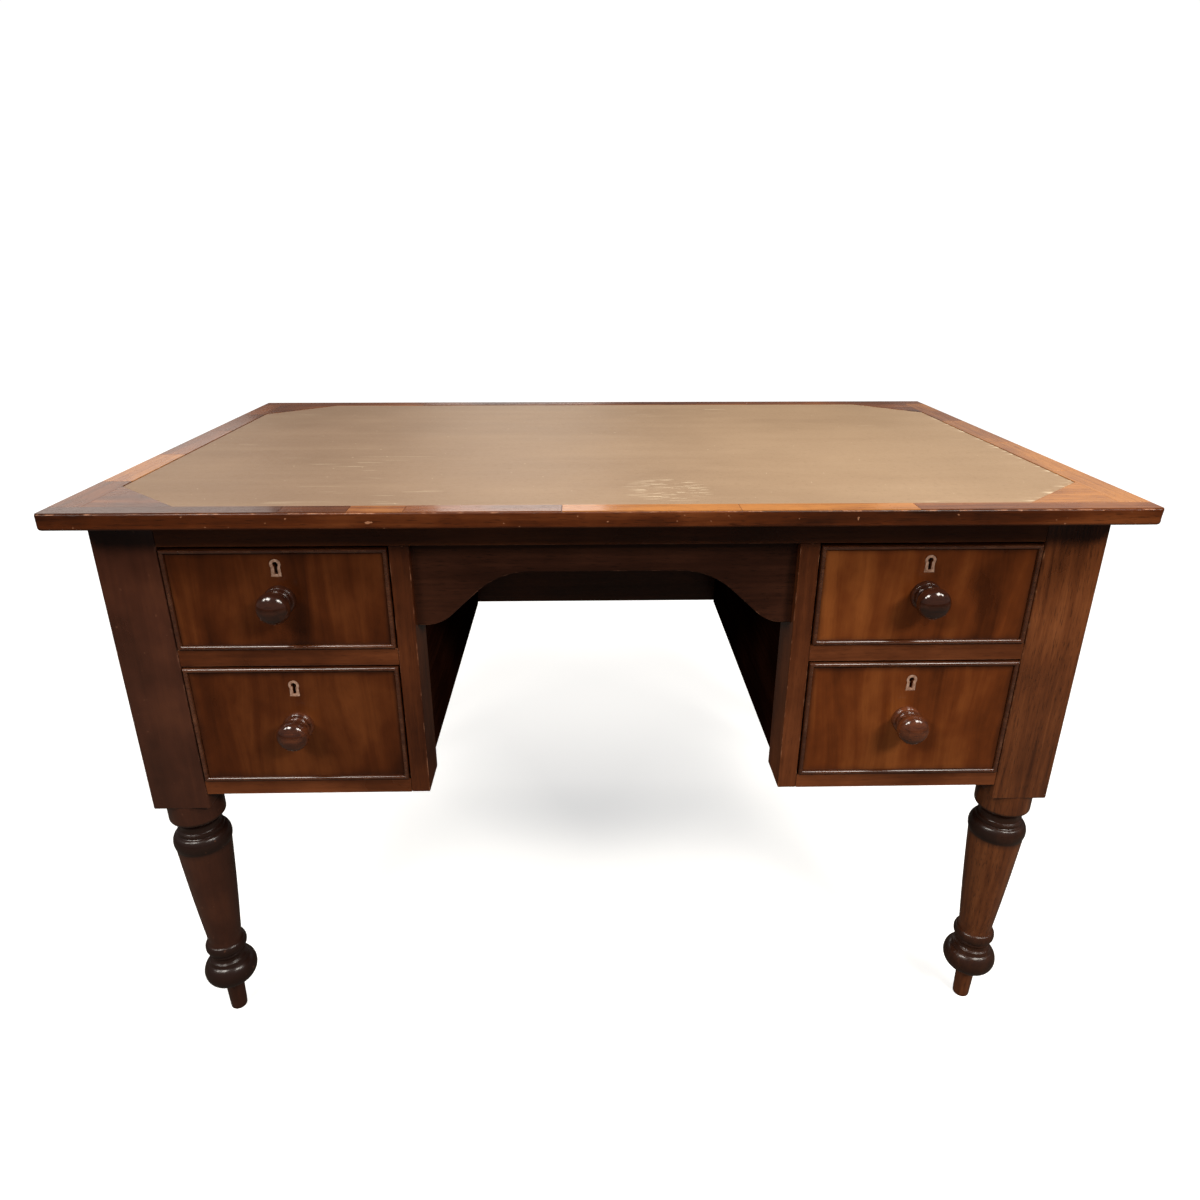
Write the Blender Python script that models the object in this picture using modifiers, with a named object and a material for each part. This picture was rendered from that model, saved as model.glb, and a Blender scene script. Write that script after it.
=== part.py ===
"""A kneehole writing desk: a leather-lined top over two pedestals of drawers, on four turned legs.

Units are metres and +Z is up. The front faces -Y, and the origin is on the floor under the
middle of the top. Lengths that can be chosen by themselves are named below, and everything
else is worked out from them.
"""

from math import cos, pi, radians, sin, tan

import bmesh
import bpy
from mathutils import Vector

# ---- overall sizes ----
HEIGHT = 0.762
WIDTH = 1.170
DEPTH = 0.700
GAP = 0.0003                 # play between pieces that touch

# ---- top ----
TOP_THICK = 0.019
TOP_CORNER = 0.006           # radius of the top's corners in plan
SIDE_OVERHANG = 0.022
FRONT_OVERHANG = 0.050
BACK_OVERHANG = 0.026
BORDER_ENDS = 0.037          # wooden border left and right of the leather
BORDER_FRONT = 0.026
BORDER_BACK = 0.031
LEATHER_THICK = 0.0015
LEATHER_CANT_X = 0.094       # the leather's corners are cut off by this much along X
LEATHER_CANT_Y = 0.085
CORNER_STEPS = 4

# ---- carcase, from the top down ----
TOP_RAIL_HIGH = 0.034
TOP_RAIL_DEEP = 0.040
UPPER_OPENING = 0.125
MIDDLE_RAIL_HIGH = 0.021
LOWER_OPENING = 0.1575
BOTTOM_RAIL_HIGH = 0.019
BLOCK_DROP = 0.0215          # the square posts reach this far below the bottom rails
KNEEHOLE = 0.435             # clear width between the stiles
STILE_WIDE = 0.0225
STILE_DEEP = 0.058
POST = 0.070                 # side of the square posts
PANEL_THICK = 0.016
PANEL_SETBACK = 0.003        # outer panels lie this far behind the posts' faces
BACK_THICK = 0.014
BACK_RISE = 0.006            # the back's lower edge is this much above the rails' underside
INNER_SIDE_THICK = 0.0137
TONGUE = 0.009               # how far a panel enters the groove that holds it
HOUSING = 0.005              # depth of the housings for thin boards
DUSTBOARD_THICK = 0.008
GUIDE_WIDE = 0.012
GUIDE_HIGH = 0.014
TENON_LONG = 0.020
TENON_THICK = 0.018
TENON_SHOULDER = 0.004       # step from a rail's edge to its tenon's
STUB_LONG = 0.008            # short tenons, where the wood beside is thin

# ---- kneehole apron ----
APRON_THICK = 0.014
APRON_SETBACK = 0.012
APRON_END_HIGH = 0.101
APRON_MID_HIGH = 0.036
APRON_FLAT = 0.170           # straight part in the middle of the lower edge
APRON_FOOT = 0.010           # straight part at each end of the lower edge
APRON_ROUND = 0.091          # radius where the edge leaves the middle
APRON_HOLLOW = 0.044         # radius where the edge meets the foot
APRON_SLOPE = radians(43)
APRON_ROUND_STEPS = 5
APRON_HOLLOW_STEPS = 4

# ---- legs, below the square posts ----
DRUM_R = 0.034
DRUM_HIGH = 0.028            # also how far the turning runs up inside the square post
COVE_HIGH = 0.011            # from the drum's foot in to the neck
NECK_R = 0.0255
NECK_HIGH = 0.010
COLLAR_R = 0.0295
COLLAR_HIGH = 0.008
SHOULDER_ROOT_R = 0.030
SHOULDER_R = 0.0353
SHOULDER_HIGH = 0.024
TAPER_TOP_R = 0.034
TAPER_FOOT_R = 0.0213
TAPER_FOOT_Z = 0.126
ANKLE_RING_R = 0.0263        # the ring between the taper and the bulb
ANKLE_RING_HIGH = 0.017
ANKLE_RING_Z = 0.107         # its foot
SADDLE_R = 0.0243            # the collar on the bulb
SADDLE_Z = 0.096
BULB_ROOT_R = 0.020
BULB_R = 0.0345
BULB_TOP_Z = 0.094
PEG_R = 0.0125
PEG_FOOT_R = 0.010
PEG_HIGH = 0.058
PEG_CHAMFER = 0.003
STEP = 0.001                 # a small step between two turned members
LEG_STEPS = 20
BULB_STEPS = 6

# ---- drawers ----
FRONT_THICK = 0.022
PLAY_SIDE = 0.0018           # gap between a drawer front and the opening
PLAY_TOP = 0.0025
PLAY_BOTTOM = 0.0008
SIDE_THICK = 0.010
SIDE_DROP = 0.002            # the sides' upper edges are this much below the front's
BOX_BACK_THICK = 0.009
BOX_BACK_DROP = 0.006
BOTTOM_THICK = 0.006
BOTTOM_RISE = 0.010          # from the sides' lower edges to the bottom board
BOTTOM_STEP = 0.003          # the bottom's full width starts this far behind the front
GROOVE = 0.0045
DRAWER_BACK_SPACE = 0.045    # room between a closed drawer and the desk's back
BEAD_WIDE = 0.005
BEAD_DEEP = 0.010
BEAD_PROUD = 0.0035
TAIL_LONG = 0.0085
TAIL_SLOPE = radians(9.5)
TAIL_PITCH = 0.038           # about one dovetail for each of these
TAIL_SHARE = 0.60            # share of the pitch that the tail takes at its root

# ---- drawer furniture ----
KNOB_OUT = 0.039             # how far a knob stands out
KNOB_BALL_R = 0.019
KNOB_BALL_LONG = 0.028       # the flattened ball's length along its axis
KNOB_NECK_R = 0.0105
KNOB_RING_R = 0.0145
KNOB_RING_HIGH = 0.0035
KNOB_COLLAR_R = 0.018
KNOB_COLLAR_HIGH = 0.0055
KNOB_PEG_R = 0.007
KNOB_PEG_LONG = 0.017
KNOB_FILLET = 0.0015         # a small step between two turned members
KNOB_STEPS = 20
KNOB_BALL_STEPS = 6
KNOB_BALL_TURN = 138         # degrees round the ball from its end to the neck
PLATE_HIGH = 0.0205
PLATE_HEAD_R = 0.0063
PLATE_HEAD_LOW = 35          # degrees below the level where the head meets the sides
PLATE_HEAD_STEPS = 10
PLATE_FOOT = 0.0116          # width of the plate's flat foot
PLATE_THICK = 0.0015
PLATE_DROP_UPPER = 0.0225    # from the drawer front's upper edge to the keyhole's plate
PLATE_DROP_LOWER = 0.0275
KEYHOLE_R = 0.0032
KEYHOLE_LOW = 52             # degrees below the level where the round hole meets the slot
KEYHOLE_STEPS = 9
KEYHOLE_SLOT = 0.0038
KEYHOLE_RIM = 0.0030         # metal left between the slot and the plate's foot
LOCK_WIDE = 0.044
LOCK_HIGH = 0.036
LOCK_DEEP = 0.010
LOCK_INSET = 0.0010
BOLT_WIDE = 0.020
BOLT_THICK = 0.005
BOLT_HIGH = 0.020
BOLT_THROW = 0.008
BOLT_PLAY = 0.0004

# ---- heights and places that follow ----
TOP_UNDER = HEIGHT - TOP_THICK
UPPER_Z1 = TOP_UNDER - TOP_RAIL_HIGH
UPPER_Z0 = UPPER_Z1 - UPPER_OPENING
LOWER_Z1 = UPPER_Z0 - MIDDLE_RAIL_HIGH
LOWER_Z0 = LOWER_Z1 - LOWER_OPENING
RAIL_UNDER = LOWER_Z0 - BOTTOM_RAIL_HIGH
BLOCK_UNDER = RAIL_UNDER - BLOCK_DROP
FRONT_Y = -DEPTH / 2 + FRONT_OVERHANG
BACK_Y = DEPTH / 2 - BACK_OVERHANG
POST_OUT = WIDTH / 2 - SIDE_OVERHANG
POST_IN = POST_OUT - POST
STILE_IN = KNEEHOLE / 2
OPENING_IN = STILE_IN + STILE_WIDE
PANEL_OUT = POST_OUT - PANEL_SETBACK
PANEL_IN = PANEL_OUT - PANEL_THICK
BACK_INNER = BACK_Y - PANEL_SETBACK - BACK_THICK
STILE_BACK = FRONT_Y + STILE_DEEP
DRAWER_LONG = BACK_INNER - DRAWER_BACK_SPACE - FRONT_Y

PARTS = "writing_desk"
CUTTERS = "cutters"
SIDES = {"left": -1, "right": 1}


# ---- setting up ----

def clear_scene():
    for old in list(bpy.data.objects):
        bpy.data.objects.remove(old, do_unlink=True)


def collection(name):
    made = bpy.data.collections.new(name)
    bpy.context.scene.collection.children.link(made)
    return made


def principled(name, colour, roughness, metallic=0.0):
    material = bpy.data.materials.new(name)
    material.use_nodes = True
    shader = material.node_tree.nodes["Principled BSDF"]
    shader.inputs["Base Color"].default_value = (*colour, 1.0)
    shader.inputs["Roughness"].default_value = roughness
    shader.inputs["Metallic"].default_value = metallic
    return material


def make_materials():
    return {
        "top_wood": principled("top_wood", (0.30, 0.12, 0.055), 0.28),
        "leather": principled("leather", (0.28, 0.20, 0.13), 0.40),
        "leg_wood": principled("leg_wood", (0.085, 0.030, 0.018), 0.25),
        "rail_wood": principled("rail_wood", (0.13, 0.045, 0.022), 0.30),
        "front_wood": principled("front_wood", (0.20, 0.075, 0.030), 0.25),
        "bead_wood": principled("bead_wood", (0.11, 0.040, 0.020), 0.25),
        "lining_wood": principled("lining_wood", (0.36, 0.22, 0.11), 0.60),
        "knob_wood": principled("knob_wood", (0.040, 0.014, 0.009), 0.12),
        "escutcheon": principled("escutcheon", (0.50, 0.36, 0.26), 0.40, 0.6),
        "lock_brass": principled("lock_brass", (0.62, 0.46, 0.20), 0.35, 1.0),
        "lock_steel": principled("lock_steel", (0.40, 0.39, 0.37), 0.35, 1.0),
    }


# ---- shapes ----

def adopt(thing, name, material, parent):
    """Puts an object in the parts, or among the cutters where it has no material."""
    thing.name = name
    home = PARTS if material else CUTTERS
    bpy.data.collections[home].objects.link(thing)
    if material:
        thing.data.materials.append(material)
    else:
        thing.hide_render = True
        thing.display_type = "WIRE"
    thing.parent = parent
    return thing


def block(name, low, high, material=None, parent=None):
    """A board between two corners."""
    low = Vector(low)
    high = Vector(high)
    shape = bmesh.new()
    bmesh.ops.create_cube(shape, size=1.0)
    bmesh.ops.scale(shape, vec=high - low, verts=shape.verts)
    mesh = bpy.data.meshes.new(name)
    shape.to_mesh(mesh)
    shape.free()
    thing = adopt(bpy.data.objects.new(name, mesh), name, material, parent)
    thing.location = (low + high) / 2
    return thing


PLAN = (0, 0, 0)                          # an outline's X and Y stay X and Y
FACING_FRONT = (radians(90), 0, 0)        # an outline's X and Y become X and Z
FACING_SIDE = (radians(90), 0, radians(90))   # an outline's X and Y become Y and Z


def flat(name, outlines, thick, turn, place, material=None, parent=None):
    """A sheet cut to one or more outlines, its mid-plane at place; an outline inside another is a hole."""
    curve = bpy.data.curves.new(name, "CURVE")
    curve.dimensions = "2D"
    curve.fill_mode = "BOTH"
    curve.extrude = thick / 2
    for outline in outlines:
        spline = curve.splines.new("POLY")
        spline.points.add(len(outline) - 1)
        for point, (x, y) in zip(spline.points, outline):
            point.co = (x, y, 0, 1)
        spline.use_cyclic_u = True
    pattern = bpy.data.objects.new(name, curve)
    bpy.context.scene.collection.objects.link(pattern)
    pattern.rotation_euler = turn
    pattern.location = place
    graph = bpy.context.evaluated_depsgraph_get()
    mesh = bpy.data.meshes.new_from_object(pattern.evaluated_get(graph))
    shape = bmesh.new()
    shape.from_mesh(mesh)
    bmesh.ops.remove_doubles(shape, verts=shape.verts, dist=0.00001)
    shape.to_mesh(mesh)
    shape.free()
    matrix = pattern.matrix_world.copy()
    bpy.data.objects.remove(pattern)
    thing = bpy.data.objects.new(name, mesh)
    thing.matrix_world = matrix
    return adopt(thing, name, material, parent)


def turned(name, profile, steps, place, turn=PLAN, material=None, parent=None):
    """A turning: the profile's (radius, height) points run from the top of the axis to its foot."""
    mesh = bpy.data.meshes.new(name)
    edges = [(i, i + 1) for i in range(len(profile) - 1)]
    mesh.from_pydata([(radius, 0, height) for radius, height in profile], edges, [])
    thing = adopt(bpy.data.objects.new(name, mesh), name, material, parent)
    thing.location = place
    thing.rotation_euler = turn
    screw = thing.modifiers.new("turning", "SCREW")
    screw.steps = steps
    screw.render_steps = steps
    screw.use_merge_vertices = True
    screw.merge_threshold = 0.00001
    return thing


def boolean(thing, other, operation):
    step = thing.modifiers.new(other.name, "BOOLEAN")
    step.operation = operation
    step.solver = "EXACT"
    step.object = other


def cut(thing, cutter):
    boolean(thing, cutter, "DIFFERENCE")


def join(thing, addition):
    boolean(thing, addition, "UNION")


def grown(low, high):
    """Two corners moved apart by the play on every side."""
    play = Vector((GAP, GAP, GAP))
    return Vector(low) - play, Vector(high) + play


def house(name, into, low, high):
    """Sinks room for a board between two corners into other pieces."""
    cutter = block(name, *grown(low, high))
    for piece in into:
        cut(piece, cutter)


def tenon(name, piece, into, low, high, parent=None):
    """Gives a piece a tenon between two corners, and the other piece the mortise for it."""
    join(piece, block(name + "_tenon", low, high, parent=parent))
    cut(into, block(name + "_mortise", *grown(low, high), parent=parent))


def arc(centre, radius, start, end, steps):
    """Points on an arc between two angles in degrees, both ends included."""
    turn = (end - start) / steps
    angles = [radians(start + turn * i) for i in range(steps + 1)]
    return [(centre[0] + radius * cos(a), centre[1] + radius * sin(a)) for a in angles]


def swell(z_top, z_foot, root, bulge, steps=4):
    """Profile points of a half-round bead, or of a cove where bulge is less than root."""
    points = []
    for i in range(steps + 1):
        a = pi * i / steps
        points.append((root + (bulge - root) * sin(a), z_top + (z_foot - z_top) * (1 - cos(a)) / 2))
    return points


# ---- top ----

def rounded_plan(half_x, half_y, radius):
    points = []
    corners = ((1, 1, 0), (-1, 1, 90), (-1, -1, 180), (1, -1, 270))
    for side_x, side_y, start in corners:
        centre = (side_x * (half_x - radius), side_y * (half_y - radius))
        points += arc(centre, radius, start, start + 90, CORNER_STEPS)
    return points


def leather_plan(play):
    """The leather's outline: a rectangle with its corners cut off."""
    x = WIDTH / 2 - BORDER_ENDS + play
    front = -DEPTH / 2 + BORDER_FRONT - play
    back = DEPTH / 2 - BORDER_BACK + play
    in_x = x - LEATHER_CANT_X
    return [(in_x, front), (x, front + LEATHER_CANT_Y), (x, back - LEATHER_CANT_Y), (in_x, back),
            (-in_x, back), (-x, back - LEATHER_CANT_Y), (-x, front + LEATHER_CANT_Y), (-in_x, front)]


def make_top(wood, leather):
    plan = rounded_plan(WIDTH / 2, DEPTH / 2, TOP_CORNER)
    thick = TOP_THICK - GAP
    board = flat("top_board", [plan], thick, PLAN, (0, 0, HEIGHT - thick / 2), wood)
    recess_deep = LEATHER_THICK + GAP
    recess = flat("leather_recess", [leather_plan(GAP)], 2 * recess_deep, PLAN, (0, 0, HEIGHT))
    cut(board, recess)
    middle = HEIGHT - LEATHER_THICK / 2
    flat("leather_top", [leather_plan(0)], LEATHER_THICK, PLAN, (0, 0, middle), leather)


# ---- legs and carcase ----

def leg_profile():
    """Radii and heights of the turned part, from inside the square post down to the floor."""
    drum_top = BLOCK_UNDER + DRUM_HIGH
    drum_foot = BLOCK_UNDER - DRUM_HIGH
    neck_top = drum_foot - COVE_HIGH
    neck_foot = neck_top - NECK_HIGH
    collar_foot = neck_foot - COLLAR_HIGH
    shoulder_foot = collar_foot - SHOULDER_HIGH
    ring_top = ANKLE_RING_Z + ANKLE_RING_HIGH
    ankle_r = TAPER_FOOT_R + STEP
    profile = [(0, drum_top), (DRUM_R, drum_top), (DRUM_R, drum_foot)]
    profile += [(DRUM_R - STEP, drum_foot - COVE_HIGH / 3), (COLLAR_R - STEP / 2, neck_top)]
    profile += swell(neck_top - STEP, neck_foot, NECK_R + STEP, NECK_R - STEP)
    profile += [(COLLAR_R, neck_foot - 2 * STEP), (COLLAR_R, collar_foot + 2 * STEP)]
    profile += swell(collar_foot, shoulder_foot, SHOULDER_ROOT_R, SHOULDER_R)[:-1]
    profile += [(TAPER_TOP_R, shoulder_foot - STEP), (TAPER_FOOT_R, TAPER_FOOT_Z)]
    profile += swell(ring_top, ANKLE_RING_Z, ankle_r, ANKLE_RING_R)
    profile += [(ankle_r, (ANKLE_RING_Z + SADDLE_Z) / 2), (SADDLE_R, SADDLE_Z)]
    profile += swell(BULB_TOP_Z, PEG_HIGH + PEG_CHAMFER, BULB_ROOT_R, BULB_R, BULB_STEPS)
    profile += [(PEG_R, PEG_HIGH), (PEG_FOOT_R + STEP, PEG_CHAMFER), (PEG_FOOT_R, 0), (0, 0)]
    return profile


def make_leg(name, side, middle_y, wood):
    """One square post with its turned leg in the same piece of wood; side is -1 or 1."""
    middle_x = side * (POST_OUT - POST / 2)
    half = POST / 2
    low = (middle_x - half, middle_y - half, BLOCK_UNDER)
    high = (middle_x + half, middle_y + half, TOP_UNDER - GAP)
    leg = block(name, low, high, wood)
    join(leg, turned(name + "_turning", leg_profile(), LEG_STEPS, (middle_x, middle_y, 0)))
    return leg


def make_legs(wood):
    rows = {"front": FRONT_Y + POST / 2, "back": BACK_Y - POST / 2}
    legs = {}
    for row, y in rows.items():
        for hand, side in SIDES.items():
            legs[row, hand] = make_leg(f"leg_{row}_{hand}", side, y, wood)
    return legs


def mirrored(side, x0, x1):
    """An X range of the right half, moved to the chosen side and put in rising order."""
    return (x0, x1) if side > 0 else (-x1, -x0)


def make_top_rail(legs, wood):
    end = POST_IN - GAP
    back_y = FRONT_Y + TOP_RAIL_DEEP
    rail = block("front_top_rail", (-end, FRONT_Y, UPPER_Z1), (end, back_y, TOP_UNDER - GAP), wood)
    y0 = FRONT_Y + (TOP_RAIL_DEEP - TENON_THICK) / 2
    for hand, side in SIDES.items():
        x0, x1 = mirrored(side, POST_IN - STUB_LONG, POST_IN + TENON_LONG)
        low = (x0, y0, UPPER_Z1 + TENON_SHOULDER)
        high = (x1, y0 + TENON_THICK, TOP_UNDER - 2 * TENON_SHOULDER)
        tenon(f"top_rail_{hand}", rail, legs["front", hand], low, high)
    return rail


def make_back(legs, wood):
    """The back, grooved into the two back posts."""
    x = POST_IN + TONGUE
    low = (-x, BACK_INNER, RAIL_UNDER + BACK_RISE)
    high = (x, BACK_INNER + BACK_THICK, TOP_UNDER - GAP)
    back = block("back_panel", low, high, wood)
    house("back_groove", [legs["back", "left"], legs["back", "right"]], low, high)
    return back


def make_outer_side(hand, side, legs, wood):
    x0, x1 = mirrored(side, PANEL_IN, PANEL_OUT)
    low = (x0, FRONT_Y + POST - TONGUE, RAIL_UNDER)
    high = (x1, BACK_Y - POST + TONGUE, TOP_UNDER - GAP)
    panel = block(f"{hand}_outer_side", low, high, wood)
    house(f"{hand}_side_groove", [legs["front", hand], legs["back", hand]], low, high)
    return panel


def make_stile(hand, side, rail, wood):
    x0, x1 = mirrored(side, STILE_IN, OPENING_IN)
    low = (x0, FRONT_Y, RAIL_UNDER)
    stile = block(f"{hand}_stile", low, (x1, STILE_BACK, UPPER_Z1 - GAP), wood)
    y0 = FRONT_Y + TENON_SHOULDER * 2
    tenon_low = (x0 + TENON_SHOULDER, y0, UPPER_Z1 - STUB_LONG)
    tenon_high = (x1 - TENON_SHOULDER, y0 + TENON_THICK, UPPER_Z1 + STUB_LONG)
    tenon(f"{hand}_stile", stile, rail, tenon_low, tenon_high)
    return stile


def make_inner_side(hand, side, stile, back, wood):
    """The kneehole's wall, tongued into the stile's back and housed in the back panel."""
    x0, x1 = mirrored(side, OPENING_IN - INNER_SIDE_THICK, OPENING_IN)
    low = (x0, STILE_BACK + GAP, RAIL_UNDER)
    high = (x1, BACK_INNER + HOUSING, TOP_UNDER - GAP)
    wall = block(f"{hand}_inner_side", low, high, wood)
    house(f"{hand}_wall_housing", [back], low, high)
    edge = INNER_SIDE_THICK / 4
    tongue_low = (x0 + edge, STILE_BACK - STUB_LONG, RAIL_UNDER + HOUSING)
    tongue_high = (x1 - edge, STILE_BACK + STUB_LONG, UPPER_Z1 - 2 * HOUSING)
    tenon(f"{hand}_wall", wall, stile, tongue_low, tongue_high)
    return wall


def make_shelf(name, side, level, rail_high, around, wood):
    """A front rail with the dustboard and drawer guide behind it; level is its upper face.

    around holds the pieces that it is joined to: post, stile, wall and panel.
    """
    inner, outer = OPENING_IN + GAP, POST_IN - GAP
    board_under = level - DUSTBOARD_THICK
    rail_back = STILE_BACK - GAP
    section = [(FRONT_Y, level - rail_high), (rail_back, level - rail_high), (rail_back, board_under),
               (BACK_INNER - GAP, board_under), (BACK_INNER - GAP, level), (FRONT_Y, level)]
    middle_x = side * (inner + outer) / 2
    shelf = flat(name, [section], outer - inner, FACING_SIDE, (middle_x, 0, 0), wood)
    add_shelf_tenons(name, side, level, rail_high, around, shelf)
    add_shelf_edges(name, side, level, around, shelf)
    return shelf


def add_shelf_tenons(name, side, level, rail_high, around, shelf):
    y0 = FRONT_Y + (STILE_DEEP - TENON_THICK) / 2
    z0 = level - rail_high + TENON_SHOULDER
    z1 = level - TENON_SHOULDER
    x0, x1 = mirrored(side, POST_IN - STUB_LONG, POST_IN + TENON_LONG)
    tenon(name + "_post", shelf, around["post"], (x0, y0, z0), (x1, y0 + TENON_THICK, z1))
    x0, x1 = mirrored(side, OPENING_IN - STUB_LONG, OPENING_IN + STUB_LONG)
    tenon(name + "_stile", shelf, around["stile"], (x0, y0, z0), (x1, y0 + TENON_THICK, z1))


def add_shelf_edges(name, side, level, around, shelf):
    """The dustboard's tongues in the walls each side of it, and the guide beside the drawer."""
    skin = DUSTBOARD_THICK / 8
    z0, z1 = level - DUSTBOARD_THICK + skin, level - skin
    y0, y1 = FRONT_Y + POST + GAP, BACK_Y - POST - GAP
    x0, x1 = mirrored(side, POST_IN - STUB_LONG, PANEL_IN + HOUSING)
    tenon(name + "_panel", shelf, around["panel"], (x0, y0, z0), (x1, y1, z1))
    x0, x1 = mirrored(side, OPENING_IN - HOUSING, OPENING_IN + STUB_LONG)
    y0, y1 = STILE_BACK + STUB_LONG + HOUSING, BACK_INNER - HOUSING
    tenon(name + "_wall", shelf, around["wall"], (x0, y0, z0), (x1, y1, z1))
    x0, x1 = mirrored(side, POST_IN + 2 * GAP, POST_IN + 2 * GAP + GUIDE_WIDE)
    y0, y1 = FRONT_Y + POST + 2 * GAP, BACK_Y - POST - 2 * GAP
    join(shelf, block(name + "_guide", (x0, y0, (z0 + z1) / 2), (x1, y1, level + GUIDE_HIGH)))


def apron_edge():
    """Half of the apron's lower edge, from the middle outwards, as (X, drop below the rail)."""
    slope = APRON_SLOPE
    foot_x = STILE_IN - APRON_FOOT
    start = APRON_FLAT / 2
    fall = APRON_END_HIGH - APRON_MID_HIGH
    round_x, round_z = APRON_ROUND * sin(slope), APRON_ROUND * (1 - cos(slope))
    hollow_x, hollow_z = APRON_HOLLOW * sin(slope), APRON_HOLLOW * (1 - cos(slope))
    run = (fall - round_z - hollow_z) / tan(slope)
    stretch = (foot_x - start) / (round_x + run + hollow_x)
    points = []
    for i in range(APRON_ROUND_STEPS + 1):
        a = slope * i / APRON_ROUND_STEPS
        points.append((start + stretch * APRON_ROUND * sin(a), APRON_MID_HIGH + APRON_ROUND * (1 - cos(a))))
    for i in range(APRON_HOLLOW_STEPS + 1):
        a = slope * (1 - i / APRON_HOLLOW_STEPS)
        x = foot_x - stretch * APRON_HOLLOW * sin(a)
        points.append((x, APRON_END_HIGH - APRON_HOLLOW * (1 - cos(a))))
    return points


def make_apron(stiles, wood):
    top = UPPER_Z1 - GAP
    half = [(x, UPPER_Z1 - drop) for x, drop in apron_edge()]
    end = STILE_IN + STUB_LONG
    foot = UPPER_Z1 - APRON_END_HIGH
    right = half + [(end, foot), (end, top)]
    left = [(-x, z) for x, z in reversed(right)]
    y0 = FRONT_Y + APRON_SETBACK
    middle = (0, y0 + APRON_THICK / 2, 0)
    flat("kneehole_apron", [right + left], APRON_THICK, FACING_FRONT, middle, wood)
    low = (-end, y0, foot)
    house("apron_housing", stiles, low, (end, y0 + APRON_THICK, top))


# ---- drawers ----

def tail_rows(low, high):
    """Centres, pitch of the dovetails along an edge from low to high."""
    count = max(2, round((high - low) / TAIL_PITCH))
    pitch = (high - low) / count
    return [low + pitch * (i + 0.5) for i in range(count)], pitch


def tail_half(pitch, along):
    """Half a tail's width at a distance from its root."""
    return pitch * TAIL_SHARE / 2 + along * tan(TAIL_SLOPE)


def tail_edge(root, long, centre, pitch, outward):
    """A tail's four points, with rising Z; outward is -1 towards the front, 1 towards the back."""
    tip = root + outward * long
    narrow, wide = tail_half(pitch, 0), tail_half(pitch, long)
    return [(root, centre - narrow), (tip, centre - wide), (tip, centre + wide), (root, centre + narrow)]


def socket(root, long, centre, pitch, outward, beyond):
    """The outline that cuts a tail's socket, with play, running past both ends."""
    start, end = -2 * GAP, long + beyond
    narrow, wide = tail_half(pitch, start) + GAP, tail_half(pitch, end) + GAP
    near, far = root + outward * start, root + outward * end
    return [(near, centre - narrow), (far, centre - wide), (far, centre + wide), (near, centre + narrow)]


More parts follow.
